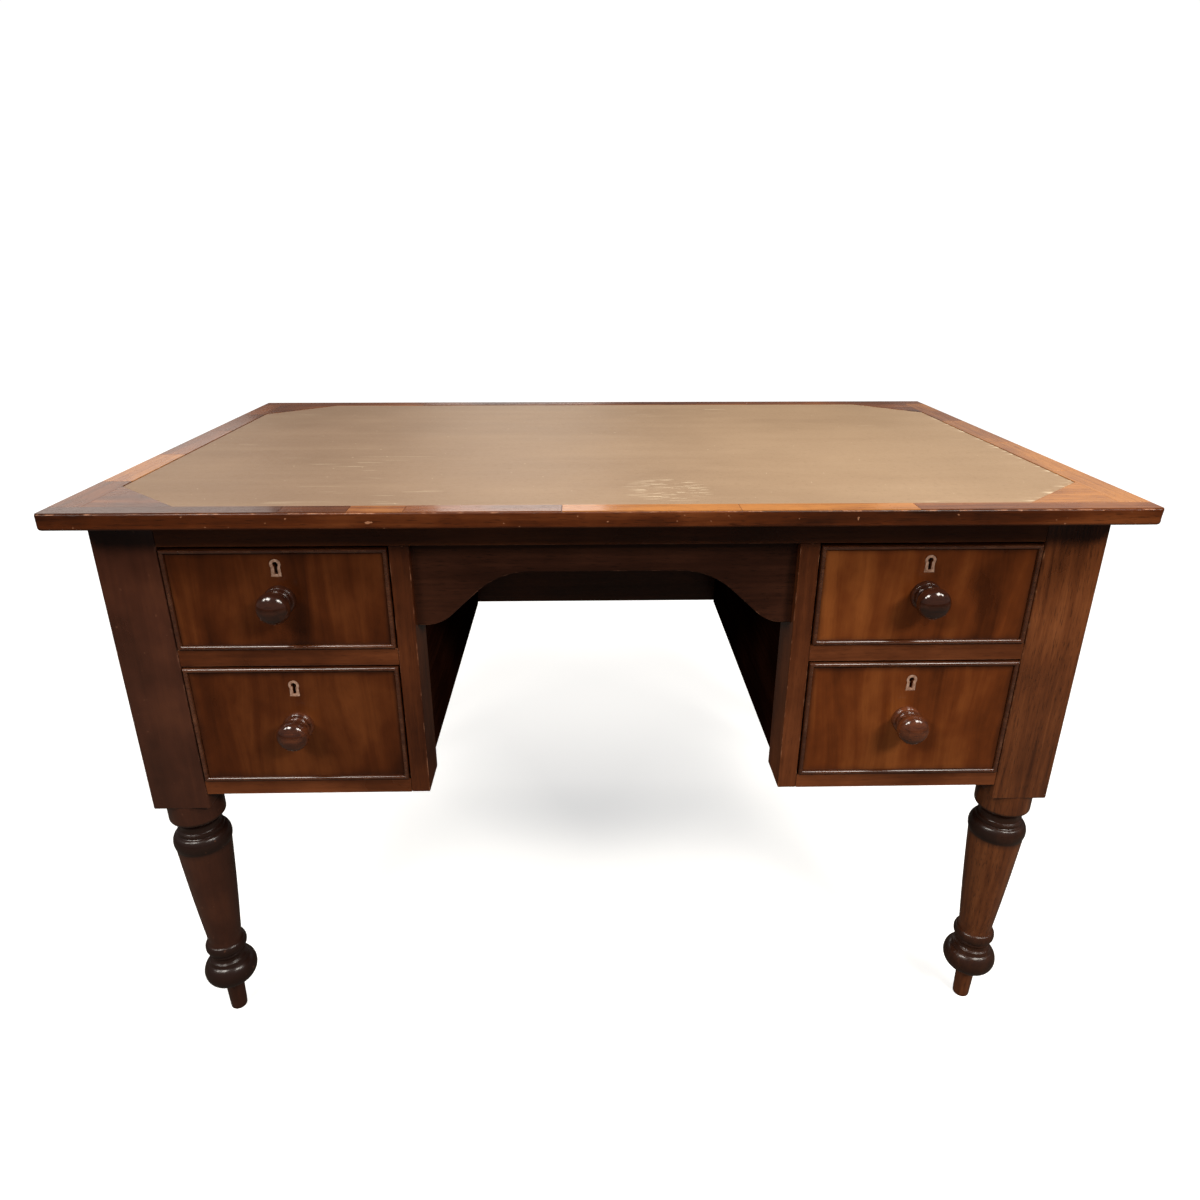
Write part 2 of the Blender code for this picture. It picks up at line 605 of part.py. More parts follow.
class Drawer:
    """One drawer, modelled about an empty at the middle of its opening, in the front's plane."""

    def __init__(self, name, side, z0, z1, plate_drop, rail_above, materials):
        self.name = name
        self.materials = materials
        self.rail_above = rail_above
        self.home = bpy.data.objects.new(name + "_slide", None)
        bpy.data.collections[PARTS].objects.link(self.home)
        self.home.location = (side * (OPENING_IN + POST_IN) / 2, FRONT_Y, (z0 + z1) / 2)
        self.half = (POST_IN - OPENING_IN) / 2 - PLAY_SIDE
        self.low = -(z1 - z0) / 2 + PLAY_BOTTOM
        self.high = (z1 - z0) / 2 - PLAY_TOP
        self.inner = self.half - SIDE_THICK
        self.back = DRAWER_LONG
        self.board_z0 = self.low + BOTTOM_RISE
        self.board_z1 = self.board_z0 + BOTTOM_THICK
        self.plate_z = self.high - plate_drop

    def board(self, part, low, high, wood):
        return block(f"{self.name}_{part}", low, high, self.materials[wood], self.home)

    def make(self):
        low = (-self.half, 0, self.low)
        front = self.board("front", low, (self.half, FRONT_THICK, self.high), "front_wood")
        self.make_bead(front)
        box_back = self.make_box_back()
        for hand, side in SIDES.items():
            self.make_side(hand, side, front, box_back)
        self.make_bottom(front)
        self.make_knob(front)
        self.make_lock(front)
        self.make_plate(front)

    def frame_outline(self, outer, inner):
        corners = []
        for inset in (outer, inner):
            x, z0, z1 = self.half - inset, self.low + inset, self.high - inset
            corners.append([(x, z0), (x, z1), (-x, z1), (-x, z0)])
        return corners

    def make_bead(self, front):
        """The cock bead, a thin frame let into a rebate round the front and standing proud of it."""
        middle = (BEAD_DEEP - BEAD_PROUD) / 2
        thick = BEAD_DEEP + BEAD_PROUD
        flat(f"{self.name}_bead", self.frame_outline(0, BEAD_WIDE), thick, FACING_FRONT, (0, middle, 0),
             self.materials["bead_wood"], self.home)
        rebate = self.frame_outline(-BEAD_WIDE, BEAD_WIDE + GAP)
        cut(front, flat(f"{self.name}_rebate", rebate, thick + 2 * GAP, FACING_FRONT, (0, middle, 0),
                        parent=self.home))

    def back_range(self):
        return self.board_z1 + GAP, self.high - SIDE_DROP - BOX_BACK_DROP

    def make_box_back(self):
        z0, z1 = self.back_range()
        y0 = self.back - BOX_BACK_THICK
        return self.board("back", (-self.half, y0, z0), (self.half, self.back, z1), "lining_wood")

    def make_side(self, hand, side, front, box_back):
        """A drawer side, dovetailed to the front and to the back, with the groove for the bottom."""
        z0, z1 = self.low, self.high - SIDE_DROP
        root_y, back_y = FRONT_THICK + GAP, self.back - BOX_BACK_THICK
        front_rows, front_pitch = tail_rows(z0, z1)
        back_rows, back_pitch = tail_rows(*self.back_range())
        outline = [(root_y, z0)]
        for centre in front_rows:
            outline += tail_edge(root_y, TAIL_LONG, centre, front_pitch, -1)
        outline += [(root_y, z1), (back_y - GAP, z1)]
        for centre in reversed(back_rows):
            outline += reversed(tail_edge(back_y - GAP, BOX_BACK_THICK + GAP, centre, back_pitch, 1))
        outline.append((back_y - GAP, z0))
        middle_x = side * (self.half - SIDE_THICK / 2)
        piece = flat(f"{self.name}_side_{hand}", [outline], SIDE_THICK, FACING_SIDE, (middle_x, 0, 0),
                     self.materials["lining_wood"], self.home)
        deep = SIDE_THICK + 2 * GAP
        sockets = [socket(root_y, TAIL_LONG, z, front_pitch, -1, GAP) for z in front_rows]
        cut(front, flat(f"{self.name}_front_sockets_{hand}", sockets, deep, FACING_SIDE, (middle_x, 0, 0),
                        parent=self.home))
        sockets = [socket(back_y, BOX_BACK_THICK, z, back_pitch, 1, GAP) for z in back_rows]
        cut(box_back, flat(f"{self.name}_back_sockets_{hand}", sockets, deep, FACING_SIDE, (middle_x, 0, 0),
                           parent=self.home))
        x0, x1 = mirrored(side, self.inner - GROOVE, self.inner + GROOVE)
        low, high = grown((x0, FRONT_THICK + BOTTOM_STEP, self.board_z0), (x1, self.back, self.board_z1))
        cut(piece, block(f"{self.name}_groove_{hand}", low, high, parent=self.home))

    def make_bottom(self, front):
        x = self.inner + GROOVE
        low = (-x, FRONT_THICK + BOTTOM_STEP, self.board_z0)
        bottom = self.board("bottom", low, (x, self.back, self.board_z1), "lining_wood")
        x = self.inner - GROOVE
        skin = BOTTOM_THICK / 6
        low = (-x, FRONT_THICK - GROOVE, self.board_z0 + skin)
        high = (x, FRONT_THICK + 2 * BOTTOM_STEP, self.board_z1 - skin)
        tenon(f"{self.name}_bottom", bottom, front, low, high, self.home)

    def make_knob(self, front):
        """A turned knob: flattened ball, neck, ring and collar, and a peg that goes into the front."""
        place = (0, 0, (self.low + self.high) / 2)
        half = KNOB_BALL_LONG / 2
        ring_foot = KNOB_COLLAR_HIGH + KNOB_FILLET
        ring_top = ring_foot + KNOB_RING_HIGH
        ring_root = KNOB_RING_R - KNOB_FILLET
        profile = [(0, KNOB_OUT)]
        for i in range(1, KNOB_BALL_STEPS + 1):
            a = radians(90 - KNOB_BALL_TURN * i / KNOB_BALL_STEPS)
            profile.append((KNOB_BALL_R * cos(a), KNOB_OUT - half + half * sin(a)))
        profile.append((KNOB_NECK_R, ring_top + GAP))
        profile += swell(ring_top, ring_foot, ring_root, KNOB_RING_R, 3)
        profile += [(ring_root, KNOB_COLLAR_HIGH + GAP), (KNOB_COLLAR_R - KNOB_FILLET, KNOB_COLLAR_HIGH)]
        profile += [(KNOB_COLLAR_R, KNOB_COLLAR_HIGH - KNOB_FILLET), (KNOB_COLLAR_R, GAP)]
        profile += [(KNOB_PEG_R, GAP), (KNOB_PEG_R, -KNOB_PEG_LONG), (0, -KNOB_PEG_LONG)]
        turned(f"{self.name}_knob", profile, KNOB_STEPS, place, FACING_FRONT,
               self.materials["knob_wood"], self.home)
        hole_r = KNOB_PEG_R + GAP
        hole = [(0, KNOB_PEG_LONG), (hole_r, KNOB_PEG_LONG), (hole_r, -KNOB_PEG_LONG - GAP),
                (0, -KNOB_PEG_LONG - GAP)]
        bore = turned(f"{self.name}_knob_hole", hole, KNOB_STEPS, place, FACING_FRONT, parent=self.home)
        cut(front, bore)

    def make_lock(self, front):
        """A lock let into the back of the front, whose bolt rises into the rail above."""
        y1 = FRONT_THICK - LOCK_INSET
        y0 = y1 - LOCK_DEEP
        z1 = self.high - LOCK_INSET
        half = LOCK_WIDE / 2
        case = self.board("lock_case", (-half, y0, z1 - LOCK_HIGH), (half, y1, z1), "lock_brass")
        low, high = grown((-half, y0, z1 - LOCK_HIGH), (half, y1 + LOCK_DEEP, z1 + LOCK_HIGH))
        cut(front, block(f"{self.name}_lock_mortise", low, high, parent=self.home))
        bolt_y = (y0 + y1) / 2
        low = Vector((-BOLT_WIDE / 2, bolt_y - BOLT_THICK / 2, z1 - LOCK_INSET - BOLT_HIGH))
        high = Vector((BOLT_WIDE / 2, bolt_y + BOLT_THICK / 2, z1 - LOCK_INSET))
        self.board("lock_bolt", low, high, "lock_steel")
        play = Vector((BOLT_PLAY, BOLT_PLAY, BOLT_PLAY))
        rise = Vector((0, 0, BOLT_THROW))
        cut(case, block(f"{self.name}_bolt_slot", low - play, high + play + rise, parent=self.home))
        strike_low = Vector((low.x, low.y, self.high)) - play
        strike_high = high + 2 * play + rise
        cut(self.rail_above, block(f"{self.name}_strike", strike_low, strike_high, parent=self.home))

    def plate_outline(self, play):
        """An upright plate with a round head, sides that splay to the foot, and a flat foot."""
        foot = PLATE_FOOT / 2 + play
        low = -PLATE_HIGH / 2 - play
        centre = (0, PLATE_HIGH / 2 - PLATE_HEAD_R)
        head = arc(centre, PLATE_HEAD_R + play, -PLATE_HEAD_LOW, 180 + PLATE_HEAD_LOW, PLATE_HEAD_STEPS)
        return [(-foot, low), (foot, low)] + head

    def keyhole(self):
        """A round hole in the middle of the plate's head, with a slot down from it."""
        centre = (0, PLATE_HIGH / 2 - PLATE_HEAD_R)
        ring = arc(centre, KEYHOLE_R, -KEYHOLE_LOW, 180 + KEYHOLE_LOW, KEYHOLE_STEPS)
        half = KEYHOLE_SLOT / 2
        low = -PLATE_HIGH / 2 + KEYHOLE_RIM
        return ring + [(-half, low), (half, low)]

    def make_plate(self, front):
        """The keyhole plate, let in flush, and the keyhole through it and the front."""
        place = (0, PLATE_THICK / 2, self.plate_z)
        plate = flat(f"{self.name}_escutcheon", [self.plate_outline(0)], PLATE_THICK, FACING_FRONT, place,
                     self.materials["escutcheon"], self.home)
        deep = PLATE_THICK + GAP
        cut(front, flat(f"{self.name}_plate_recess", [self.plate_outline(GAP)], 2 * deep, FACING_FRONT,
                        (0, 0, self.plate_z), parent=self.home))
        through = 2 * FRONT_THICK - LOCK_DEEP
        hole = flat(f"{self.name}_keyhole", [self.keyhole()], through, FACING_FRONT, (0, 0, self.plate_z),
                    parent=self.home)
        cut(plate, hole)
        cut(front, hole)


# ---- the whole desk ----

def make_pedestal(hand, side, legs, rail, back, materials):
    """Everything on one side of the kneehole but the legs; returns its stile."""
    wood = materials["rail_wood"]
    panel = make_outer_side(hand, side, legs, wood)
    stile = make_stile(hand, side, rail, wood)
    wall = make_inner_side(hand, side, stile, back, wood)
    around = {"post": legs["front", hand], "stile": stile, "wall": wall, "panel": panel}
    middle = make_shelf(f"{hand}_middle_shelf", side, UPPER_Z0, MIDDLE_RAIL_HIGH, around, wood)
    make_shelf(f"{hand}_bottom_shelf", side, LOWER_Z0, BOTTOM_RAIL_HIGH, around, wood)
    Drawer(f"upper_{hand}", side, UPPER_Z0, UPPER_Z1, PLATE_DROP_UPPER, rail, materials).make()
    Drawer(f"lower_{hand}", side, LOWER_Z0, LOWER_Z1, PLATE_DROP_LOWER, middle, materials).make()
    return stile


def main():
    clear_scene()
    collection(PARTS)
    collection(CUTTERS)
    materials = make_materials()
    make_top(materials["top_wood"], materials["leather"])
    legs = make_legs(materials["leg_wood"])
    rail = make_top_rail(legs, materials["rail_wood"])
    back = make_back(legs, materials["rail_wood"])
    stiles = []
    for hand, side in SIDES.items():
        stiles.append(make_pedestal(hand, side, legs, rail, back, materials))
    make_apron(stiles, materials["rail_wood"])


main()
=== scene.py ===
"""The looks of the writing desk: polished mahogany, old leather, brass locks, soft studio light."""

import random
from math import cos, pi, radians, sin

import bmesh
import bpy
import numpy as np
from mathutils import Matrix, Vector, noise


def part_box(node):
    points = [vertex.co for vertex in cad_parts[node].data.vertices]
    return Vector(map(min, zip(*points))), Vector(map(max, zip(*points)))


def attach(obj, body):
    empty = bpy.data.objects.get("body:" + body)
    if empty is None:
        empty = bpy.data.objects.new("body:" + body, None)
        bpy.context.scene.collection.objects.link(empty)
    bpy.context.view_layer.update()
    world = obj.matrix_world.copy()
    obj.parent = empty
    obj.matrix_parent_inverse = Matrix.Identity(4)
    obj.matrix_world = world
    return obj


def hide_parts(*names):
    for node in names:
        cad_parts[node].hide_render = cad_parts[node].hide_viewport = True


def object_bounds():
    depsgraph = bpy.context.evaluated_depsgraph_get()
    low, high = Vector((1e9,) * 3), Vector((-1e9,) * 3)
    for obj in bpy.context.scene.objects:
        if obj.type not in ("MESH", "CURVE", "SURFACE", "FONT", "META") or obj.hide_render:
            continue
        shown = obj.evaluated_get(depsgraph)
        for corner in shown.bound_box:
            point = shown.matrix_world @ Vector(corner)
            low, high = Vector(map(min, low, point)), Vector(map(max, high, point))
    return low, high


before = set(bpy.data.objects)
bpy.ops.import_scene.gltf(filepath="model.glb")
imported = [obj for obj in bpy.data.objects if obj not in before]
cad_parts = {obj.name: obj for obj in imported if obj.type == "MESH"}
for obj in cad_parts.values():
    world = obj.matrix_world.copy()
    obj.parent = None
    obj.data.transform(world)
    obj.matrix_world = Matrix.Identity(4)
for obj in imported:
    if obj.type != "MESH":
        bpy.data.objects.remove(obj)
cad_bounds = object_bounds()

DESK = "desk_frame"
HANDS = ("left", "right")
DRAWERS = ("upper_left", "lower_left", "upper_right", "lower_right")


# ======== helpers for node trees ========

def node(tree, kind, inputs=None, **settings):
    """Adds a node; an input is a value, or the socket that feeds it."""
    made = tree.nodes.new(kind)
    for key, value in settings.items():
        setattr(made, key, value)
    for key, value in (inputs or {}).items():
        if isinstance(value, bpy.types.NodeSocket):
            tree.links.new(value, made.inputs[key])
        else:
            made.inputs[key].default_value = value
    return made


def maths(tree, operation, a, b=0.0, clamp=False):
    return node(tree, "ShaderNodeMath", {0: a, 1: b}, operation=operation, use_clamp=clamp).outputs[0]


def mapped(tree, value, low, high, to_low=0.0, to_high=1.0):
    """Carries a value from one range to another, and holds it at the ends."""
    inputs = {0: value, 1: low, 2: high, 3: to_low, 4: to_high}
    return node(tree, "ShaderNodeMapRange", inputs, interpolation_type="SMOOTHSTEP").outputs[0]


def centred(tree, value, amount):
    """A value between 0 and 1 made to swing about 0, by half the amount each way."""
    return maths(tree, "MULTIPLY", maths(tree, "SUBTRACT", value, 0.5), amount)


def tinted(tree, factor, a, b):
    inputs = {0: factor, 6: a, 7: b}
    return node(tree, "ShaderNodeMix", inputs, data_type="RGBA", blend_type="MIX").outputs[2]


def stretched(tree, vector, scale):
    return node(tree, "ShaderNodeVectorMath", {0: vector, 1: scale}, operation="MULTIPLY").outputs[0]


def cloud(tree, vector, scale, detail=3.0, rough=0.55):
    """Noise between 0 and 1; scale may differ along each axis."""
    spots = stretched(tree, vector, scale)
    inputs = {"Vector": spots, "Scale": 1.0, "Detail": detail, "Roughness": rough}
    return node(tree, "ShaderNodeTexNoise", inputs)


def ramp(tree, factor, stops):
    made = node(tree, "ShaderNodeValToRGB", {0: factor})
    band = made.color_ramp
    while len(band.elements) < len(stops):
        band.elements.new(0.5)
    for element, (place, colour) in zip(band.elements, stops):
        element.position = place
        element.color = (*colour, 1.0)
    return made.outputs[0]


def blank_material(name):
    material = bpy.data.materials.new(name)
    material.use_nodes = True
    tree = material.node_tree
    return material, tree, tree.nodes["Principled BSDF"]


def attribute(tree, name, output="Fac"):
    return node(tree, "ShaderNodeAttribute", attribute_name=name).outputs[output]


def bumped(tree, shader, height, distance, strength):
    inputs = {"Height": height, "Distance": distance, "Strength": strength}
    bump = node(tree, "ShaderNodeBump", inputs)
    tree.links.new(bump.outputs[0], shader.inputs["Normal"])


# ======== materials ========

# Colour of the soot kept in the leg rings, used also for the painted shade round drawer fronts' rims.
SOOT_AND_SHADE = (0.014, 0.0060, 0.0042, 1.0)


def timber(name, dark, mid, light, worn, roughness=0.30, specular=0.35, coat=0.12, ribbon=0.5,
           fine=1.0, mottle=1.1, sway=0.022, pores=0.5, chipped=0.0, ripples=0.5, shade_rim=False):
    """Polished hardwood. It reads each piece's own grain, tone, worn arrises and grime; with shade_rim it
    also paints shade round a drawer front's rim.
    """
    material, tree, shader = blank_material(name)
    grain = attribute(tree, "grain", "Vector")
    bend = cloud(tree, grain, (2.2, 10.0, 10.0), 2.0).outputs["Color"]
    lean = node(tree, "ShaderNodeVectorMath", {0: bend, 1: (0.5, 0.5, 0.5)},
                operation="SUBTRACT").outputs[0]
    swung = node(tree, "ShaderNodeVectorMath", {0: lean, 1: (0.0, sway, sway), 2: grain},
                 operation="MULTIPLY_ADD").outputs[0]
    bands = cloud(tree, swung, (1.6, 34.0, 34.0), 3.0, 0.6).outputs[0]
    streaks = cloud(tree, swung, (5.0, 190.0, 190.0), 3.0, 0.6).outputs[0]
    fibre = cloud(tree, swung, (26.0, 1100.0, 1100.0), 2.0, 0.6).outputs[0]
    patina = cloud(tree, grain, (7.0, 9.0, 9.0), 4.0, 0.6).outputs[0]
    figure = centred(tree, bands, 2.2 * ribbon)
    for pattern, amount in ((streaks, 0.9 * fine), (fibre, 0.35 * fine), (patina, mottle)):
        figure = maths(tree, "ADD", figure, centred(tree, pattern, amount))
    figure = maths(tree, "ADD", figure, attribute(tree, "tone"), clamp=True)
    colour = ramp(tree, figure, ((0.0, dark), (0.5, mid), (1.0, light)))
    dashes = cloud(tree, swung, (70.0, 950.0, 950.0), 1.0, 0.4).outputs[0]
    open_grain = maths(tree, "MULTIPLY", mapped(tree, dashes, 0.60, 0.70), pores)
    colour = tinted(tree, open_grain, colour, (*(0.35 * part for part in dark), 1.0))
    scuffs = mapped(tree, cloud(tree, grain, (60.0, 90.0, 90.0), 4.0, 0.7).outputs[0], 0.50, 0.66)
    rubbed = maths(tree, "MULTIPLY", attribute(tree, "arris"), scuffs)
    colour = tinted(tree, maths(tree, "MULTIPLY", rubbed, 0.75), colour, (*worn, 1.0))
    # Soot kept in the leg rings darkens the colour here; with shade_rim, painted shade round the drawer
    # front's rim is added to it.
    soot_and_shade = mapped(tree, patina, 0.25, 0.6, 0.75, 1.0)
    soot_and_shade = maths(tree, "MULTIPLY", attribute(tree, "grime"), soot_and_shade)
    if shade_rim:
        soot_and_shade = maths(tree, "MAXIMUM", soot_and_shade, rim_shade(tree, patina))
    colour = tinted(tree, maths(tree, "MULTIPLY", soot_and_shade, 0.85), colour, SOOT_AND_SHADE)
    chips = mapped(tree, cloud(tree, grain, (130.0, 170.0, 170.0), 1.0).outputs[0], 0.745, 0.765)
    colour = tinted(tree, maths(tree, "MULTIPLY", chips, chipped), colour, (*worn, 1.0))
    tree.links.new(colour, shader.inputs["Base Color"])
    dull = maths(tree, "ADD", roughness - 0.10, maths(tree, "MULTIPLY", patina, 0.20))
    dull = maths(tree, "ADD", dull, maths(tree, "MULTIPLY", rubbed, 0.15))
    tree.links.new(dull, shader.inputs["Roughness"])
    shader.inputs["Specular IOR Level"].default_value = specular
    shader.inputs["Coat Weight"].default_value = coat
    shader.inputs["Coat Roughness"].default_value = 0.09
    ripple = cloud(tree, grain, (9.0, 22.0, 22.0), 2.0).outputs[0]
    height = maths(tree, "ADD", ripple, maths(tree, "MULTIPLY", streaks, 0.16))
    height = maths(tree, "SUBTRACT", height, maths(tree, "MULTIPLY", open_grain, 0.22))
    bumped(tree, shader, height, 0.0009, ripples)
    return material


FRONT_HALF = (0.125, 0.066)


def rim_shade(tree, patina):
    """Painted shade round the rim of a drawer front, darkest just inside the bead; place runs from -1 to 1
    across it.
    """
    place = node(tree, "ShaderNodeSeparateXYZ", {0: attribute(tree, "place", "Vector")})
    near = []
    for axis, half in zip((0, 2), FRONT_HALF):
        inward = maths(tree, "SUBTRACT", 1.0, maths(tree, "ABSOLUTE", place.outputs[axis]))
        near.append(maths(tree, "MULTIPLY", inward, half))
    nearest = maths(tree, "MINIMUM", near[0], near[1])
    ragged = maths(tree, "ADD", nearest, centred(tree, patina, 0.012))
    return mapped(tree, ragged, 0.002, 0.013, 0.55, 0.0)


def old_leather():
    """Brown desk leather: fine grain, mottling, paler towards the right, scratched and rubbed."""
    material, tree, shader = blank_material("old_leather")
    place = node(tree, "ShaderNodeTexCoord").outputs["Object"]
    across = node(tree, "ShaderNodeSeparateXYZ", {0: place}).outputs
    mottle = cloud(tree, place, (3.0, 4.5, 3.0), 5.0, 0.6).outputs[0]
    speck = cloud(tree, place, (160.0, 160.0, 160.0), 3.0, 0.7).outputs[0]
    streak = cloud(tree, place, (3.0, 40.0, 1.0), 3.0, 0.55).outputs[0]
    deeper = ramp(tree, mottle, ((0.30, (0.232, 0.150, 0.097)), (0.52, (0.256, 0.168, 0.110)),
                                (0.72, (0.282, 0.188, 0.125))))
    paler = ramp(tree, mottle, ((0.30, (0.345, 0.228, 0.136)), (0.52, (0.376, 0.252, 0.153)),
                                (0.72, (0.408, 0.278, 0.172))))
    # The colour grows paler towards the right of the sheet.
    rightward = maths(tree, "ADD", across[0], maths(tree, "MULTIPLY", mottle, 0.4))
    colour = tinted(tree, mapped(tree, rightward, -0.35, 0.75), deeper, paler)
    for pattern, low, high, most, stain in ((speck, 0.50, 0.80, 0.25, (0.165, 0.105, 0.058, 1.0)),
                                            (streak, 0.45, 0.75, 0.10, (0.46, 0.33, 0.22, 1.0)),
                                            (streak, 0.50, 0.25, 0.08, (0.17, 0.10, 0.06, 1.0))):
        colour = tinted(tree, mapped(tree, pattern, low, high, 0.0, most), colour, stain)
    scratch = scratches(tree, place)
    colour = tinted(tree, maths(tree, "MULTIPLY", scratch, 0.85), colour, (0.74, 0.60, 0.42, 1.0))
    tree.links.new(colour, shader.inputs["Base Color"])
    dull = maths(tree, "ADD", 0.34, maths(tree, "MULTIPLY", mottle, 0.16))
    dull = maths(tree, "ADD", dull, maths(tree, "MULTIPLY", speck, 0.08))
    tree.links.new(dull, shader.inputs["Roughness"])
    shader.inputs["Specular IOR Level"].default_value = 0.45
    cells = node(tree, "ShaderNodeTexVoronoi", {"Vector": place, "Scale": 900.0}).outputs["Distance"]
    creases = cloud(tree, place, (55.0, 80.0, 55.0), 4.0, 0.65).outputs[0]
    height = maths(tree, "MULTIPLY", cells, 0.35)
    height = maths(tree, "ADD", height, maths(tree, "MULTIPLY", creases, 0.8))
    height = maths(tree, "SUBTRACT", height, maths(tree, "MULTIPLY", scratch, 0.5))
    bumped(tree, shader, height, 0.0005, 0.5)
    return material


def strokes(tree, place, degrees, scale, lowest):
    """Short straight scratches that all lie about one way."""
    inputs = {"Vector": place, "Rotation": (0.0, 0.0, radians(degrees)), "Scale": scale}
    turned = node(tree, "ShaderNodeMapping", inputs).outputs[0]
    marks = cloud(tree, turned, (1.0, 1.0, 1.0), 1.0, 0.4).outputs[0]
    return mapped(tree, marks, lowest, lowest + 0.02)


def scratches(tree, place):
    """Scratches: a few over the whole sheet, many in the worn patch, specks, and a rubbed rim."""
    patch = worn_patch(tree, place)
    sparse = mapped(tree, cloud(tree, place, (5.0, 7.0, 5.0), 2.0).outputs[0], 0.56, 0.66)
    long_marks = strokes(tree, place, 3, (12.0, 560.0, 1.0), 0.725)
    total = maths(tree, "MULTIPLY", long_marks, sparse)
    for degrees, scale, lowest in ((-5, (30.0, 420.0, 1.0), 0.675), (68, (34.0, 500.0, 1.0), 0.685),
                                   (118, (30.0, 520.0, 1.0), 0.685)):
        marks = maths(tree, "MULTIPLY", strokes(tree, place, degrees, scale, lowest), patch)
        total = maths(tree, "MAXIMUM", total, marks)
    specks = mapped(tree, cloud(tree, place, (230.0, 230.0, 1.0), 0.0).outputs[0], 0.86, 0.88)
    total = maths(tree, "MAXIMUM", total, specks)
    frayed = strokes(tree, place, 0, (30.0, 160.0, 1.0), 0.60)
    frayed = maths(tree, "MULTIPLY", frayed, attribute(tree, "rim"))
    across = node(tree, "ShaderNodeSeparateXYZ", {0: place}).outputs[0]
    frayed = maths(tree, "MULTIPLY", frayed, mapped(tree, across, 0.25, 0.45))
    return maths(tree, "MAXIMUM", total, frayed)


WORN_PLACE = (0.070, -0.262)


def worn_patch(tree, place):
    """1 in the middle of the place where the writer's hand lay, falling to 0 around it."""
    middle = (*WORN_PLACE, cad_bounds[1][2])
    reach = node(tree, "ShaderNodeVectorMath", {0: place, 1: middle},
                 operation="DISTANCE").outputs["Value"]
    return mapped(tree, reach, 0.030, 0.060, 1.0, 0.0)


def metal(name, bright, dull, roughness, tarnish_scale=60.0):
    """Old cast or filed metal, tarnished in patches."""
    material, tree, shader = blank_material(name)
    place = node(tree, "ShaderNodeTexCoord").outputs["Object"]
    patch = cloud(tree, place, (tarnish_scale,) * 3, 4.0, 0.65).outputs[0]
    fine = cloud(tree, place, (900.0, 120.0, 900.0), 2.0).outputs[0]
    colour = tinted(tree, mapped(tree, patch, 0.35, 0.65), (*bright, 1.0), (*dull, 1.0))
    tree.links.new(colour, shader.inputs["Base Color"])
    rough = maths(tree, "ADD", roughness, maths(tree, "MULTIPLY", patch, 0.25))
    tree.links.new(rough, shader.inputs["Roughness"])
    shader.inputs["Metallic"].default_value = 1.0
    bumped(tree, shader, maths(tree, "ADD", fine, patch), 0.00015, 0.6)
    return material


def key_plate_metal():
    """Dull pinkish-tan inlay, worn nearly level with the wood."""
    material, tree, shader = blank_material("key_plate_metal")
    place = node(tree, "ShaderNodeTexCoord").outputs["Object"]
    patch = cloud(tree, place, (300.0, 300.0, 220.0), 4.0, 0.6).outputs[0]
    colour = ramp(tree, patch, ((0.35, (0.28, 0.15, 0.10)), (0.52, (0.46, 0.27, 0.19)),
                                (0.70, (0.60, 0.40, 0.29))))
    tree.links.new(colour, shader.inputs["Base Color"])
    rough = maths(tree, "ADD", 0.34, maths(tree, "MULTIPLY", patch, 0.2))
    tree.links.new(rough, shader.inputs["Roughness"])
    shader.inputs["Metallic"].default_value = 0.25
    bumped(tree, shader, patch, 0.0002, 0.5)
    return material


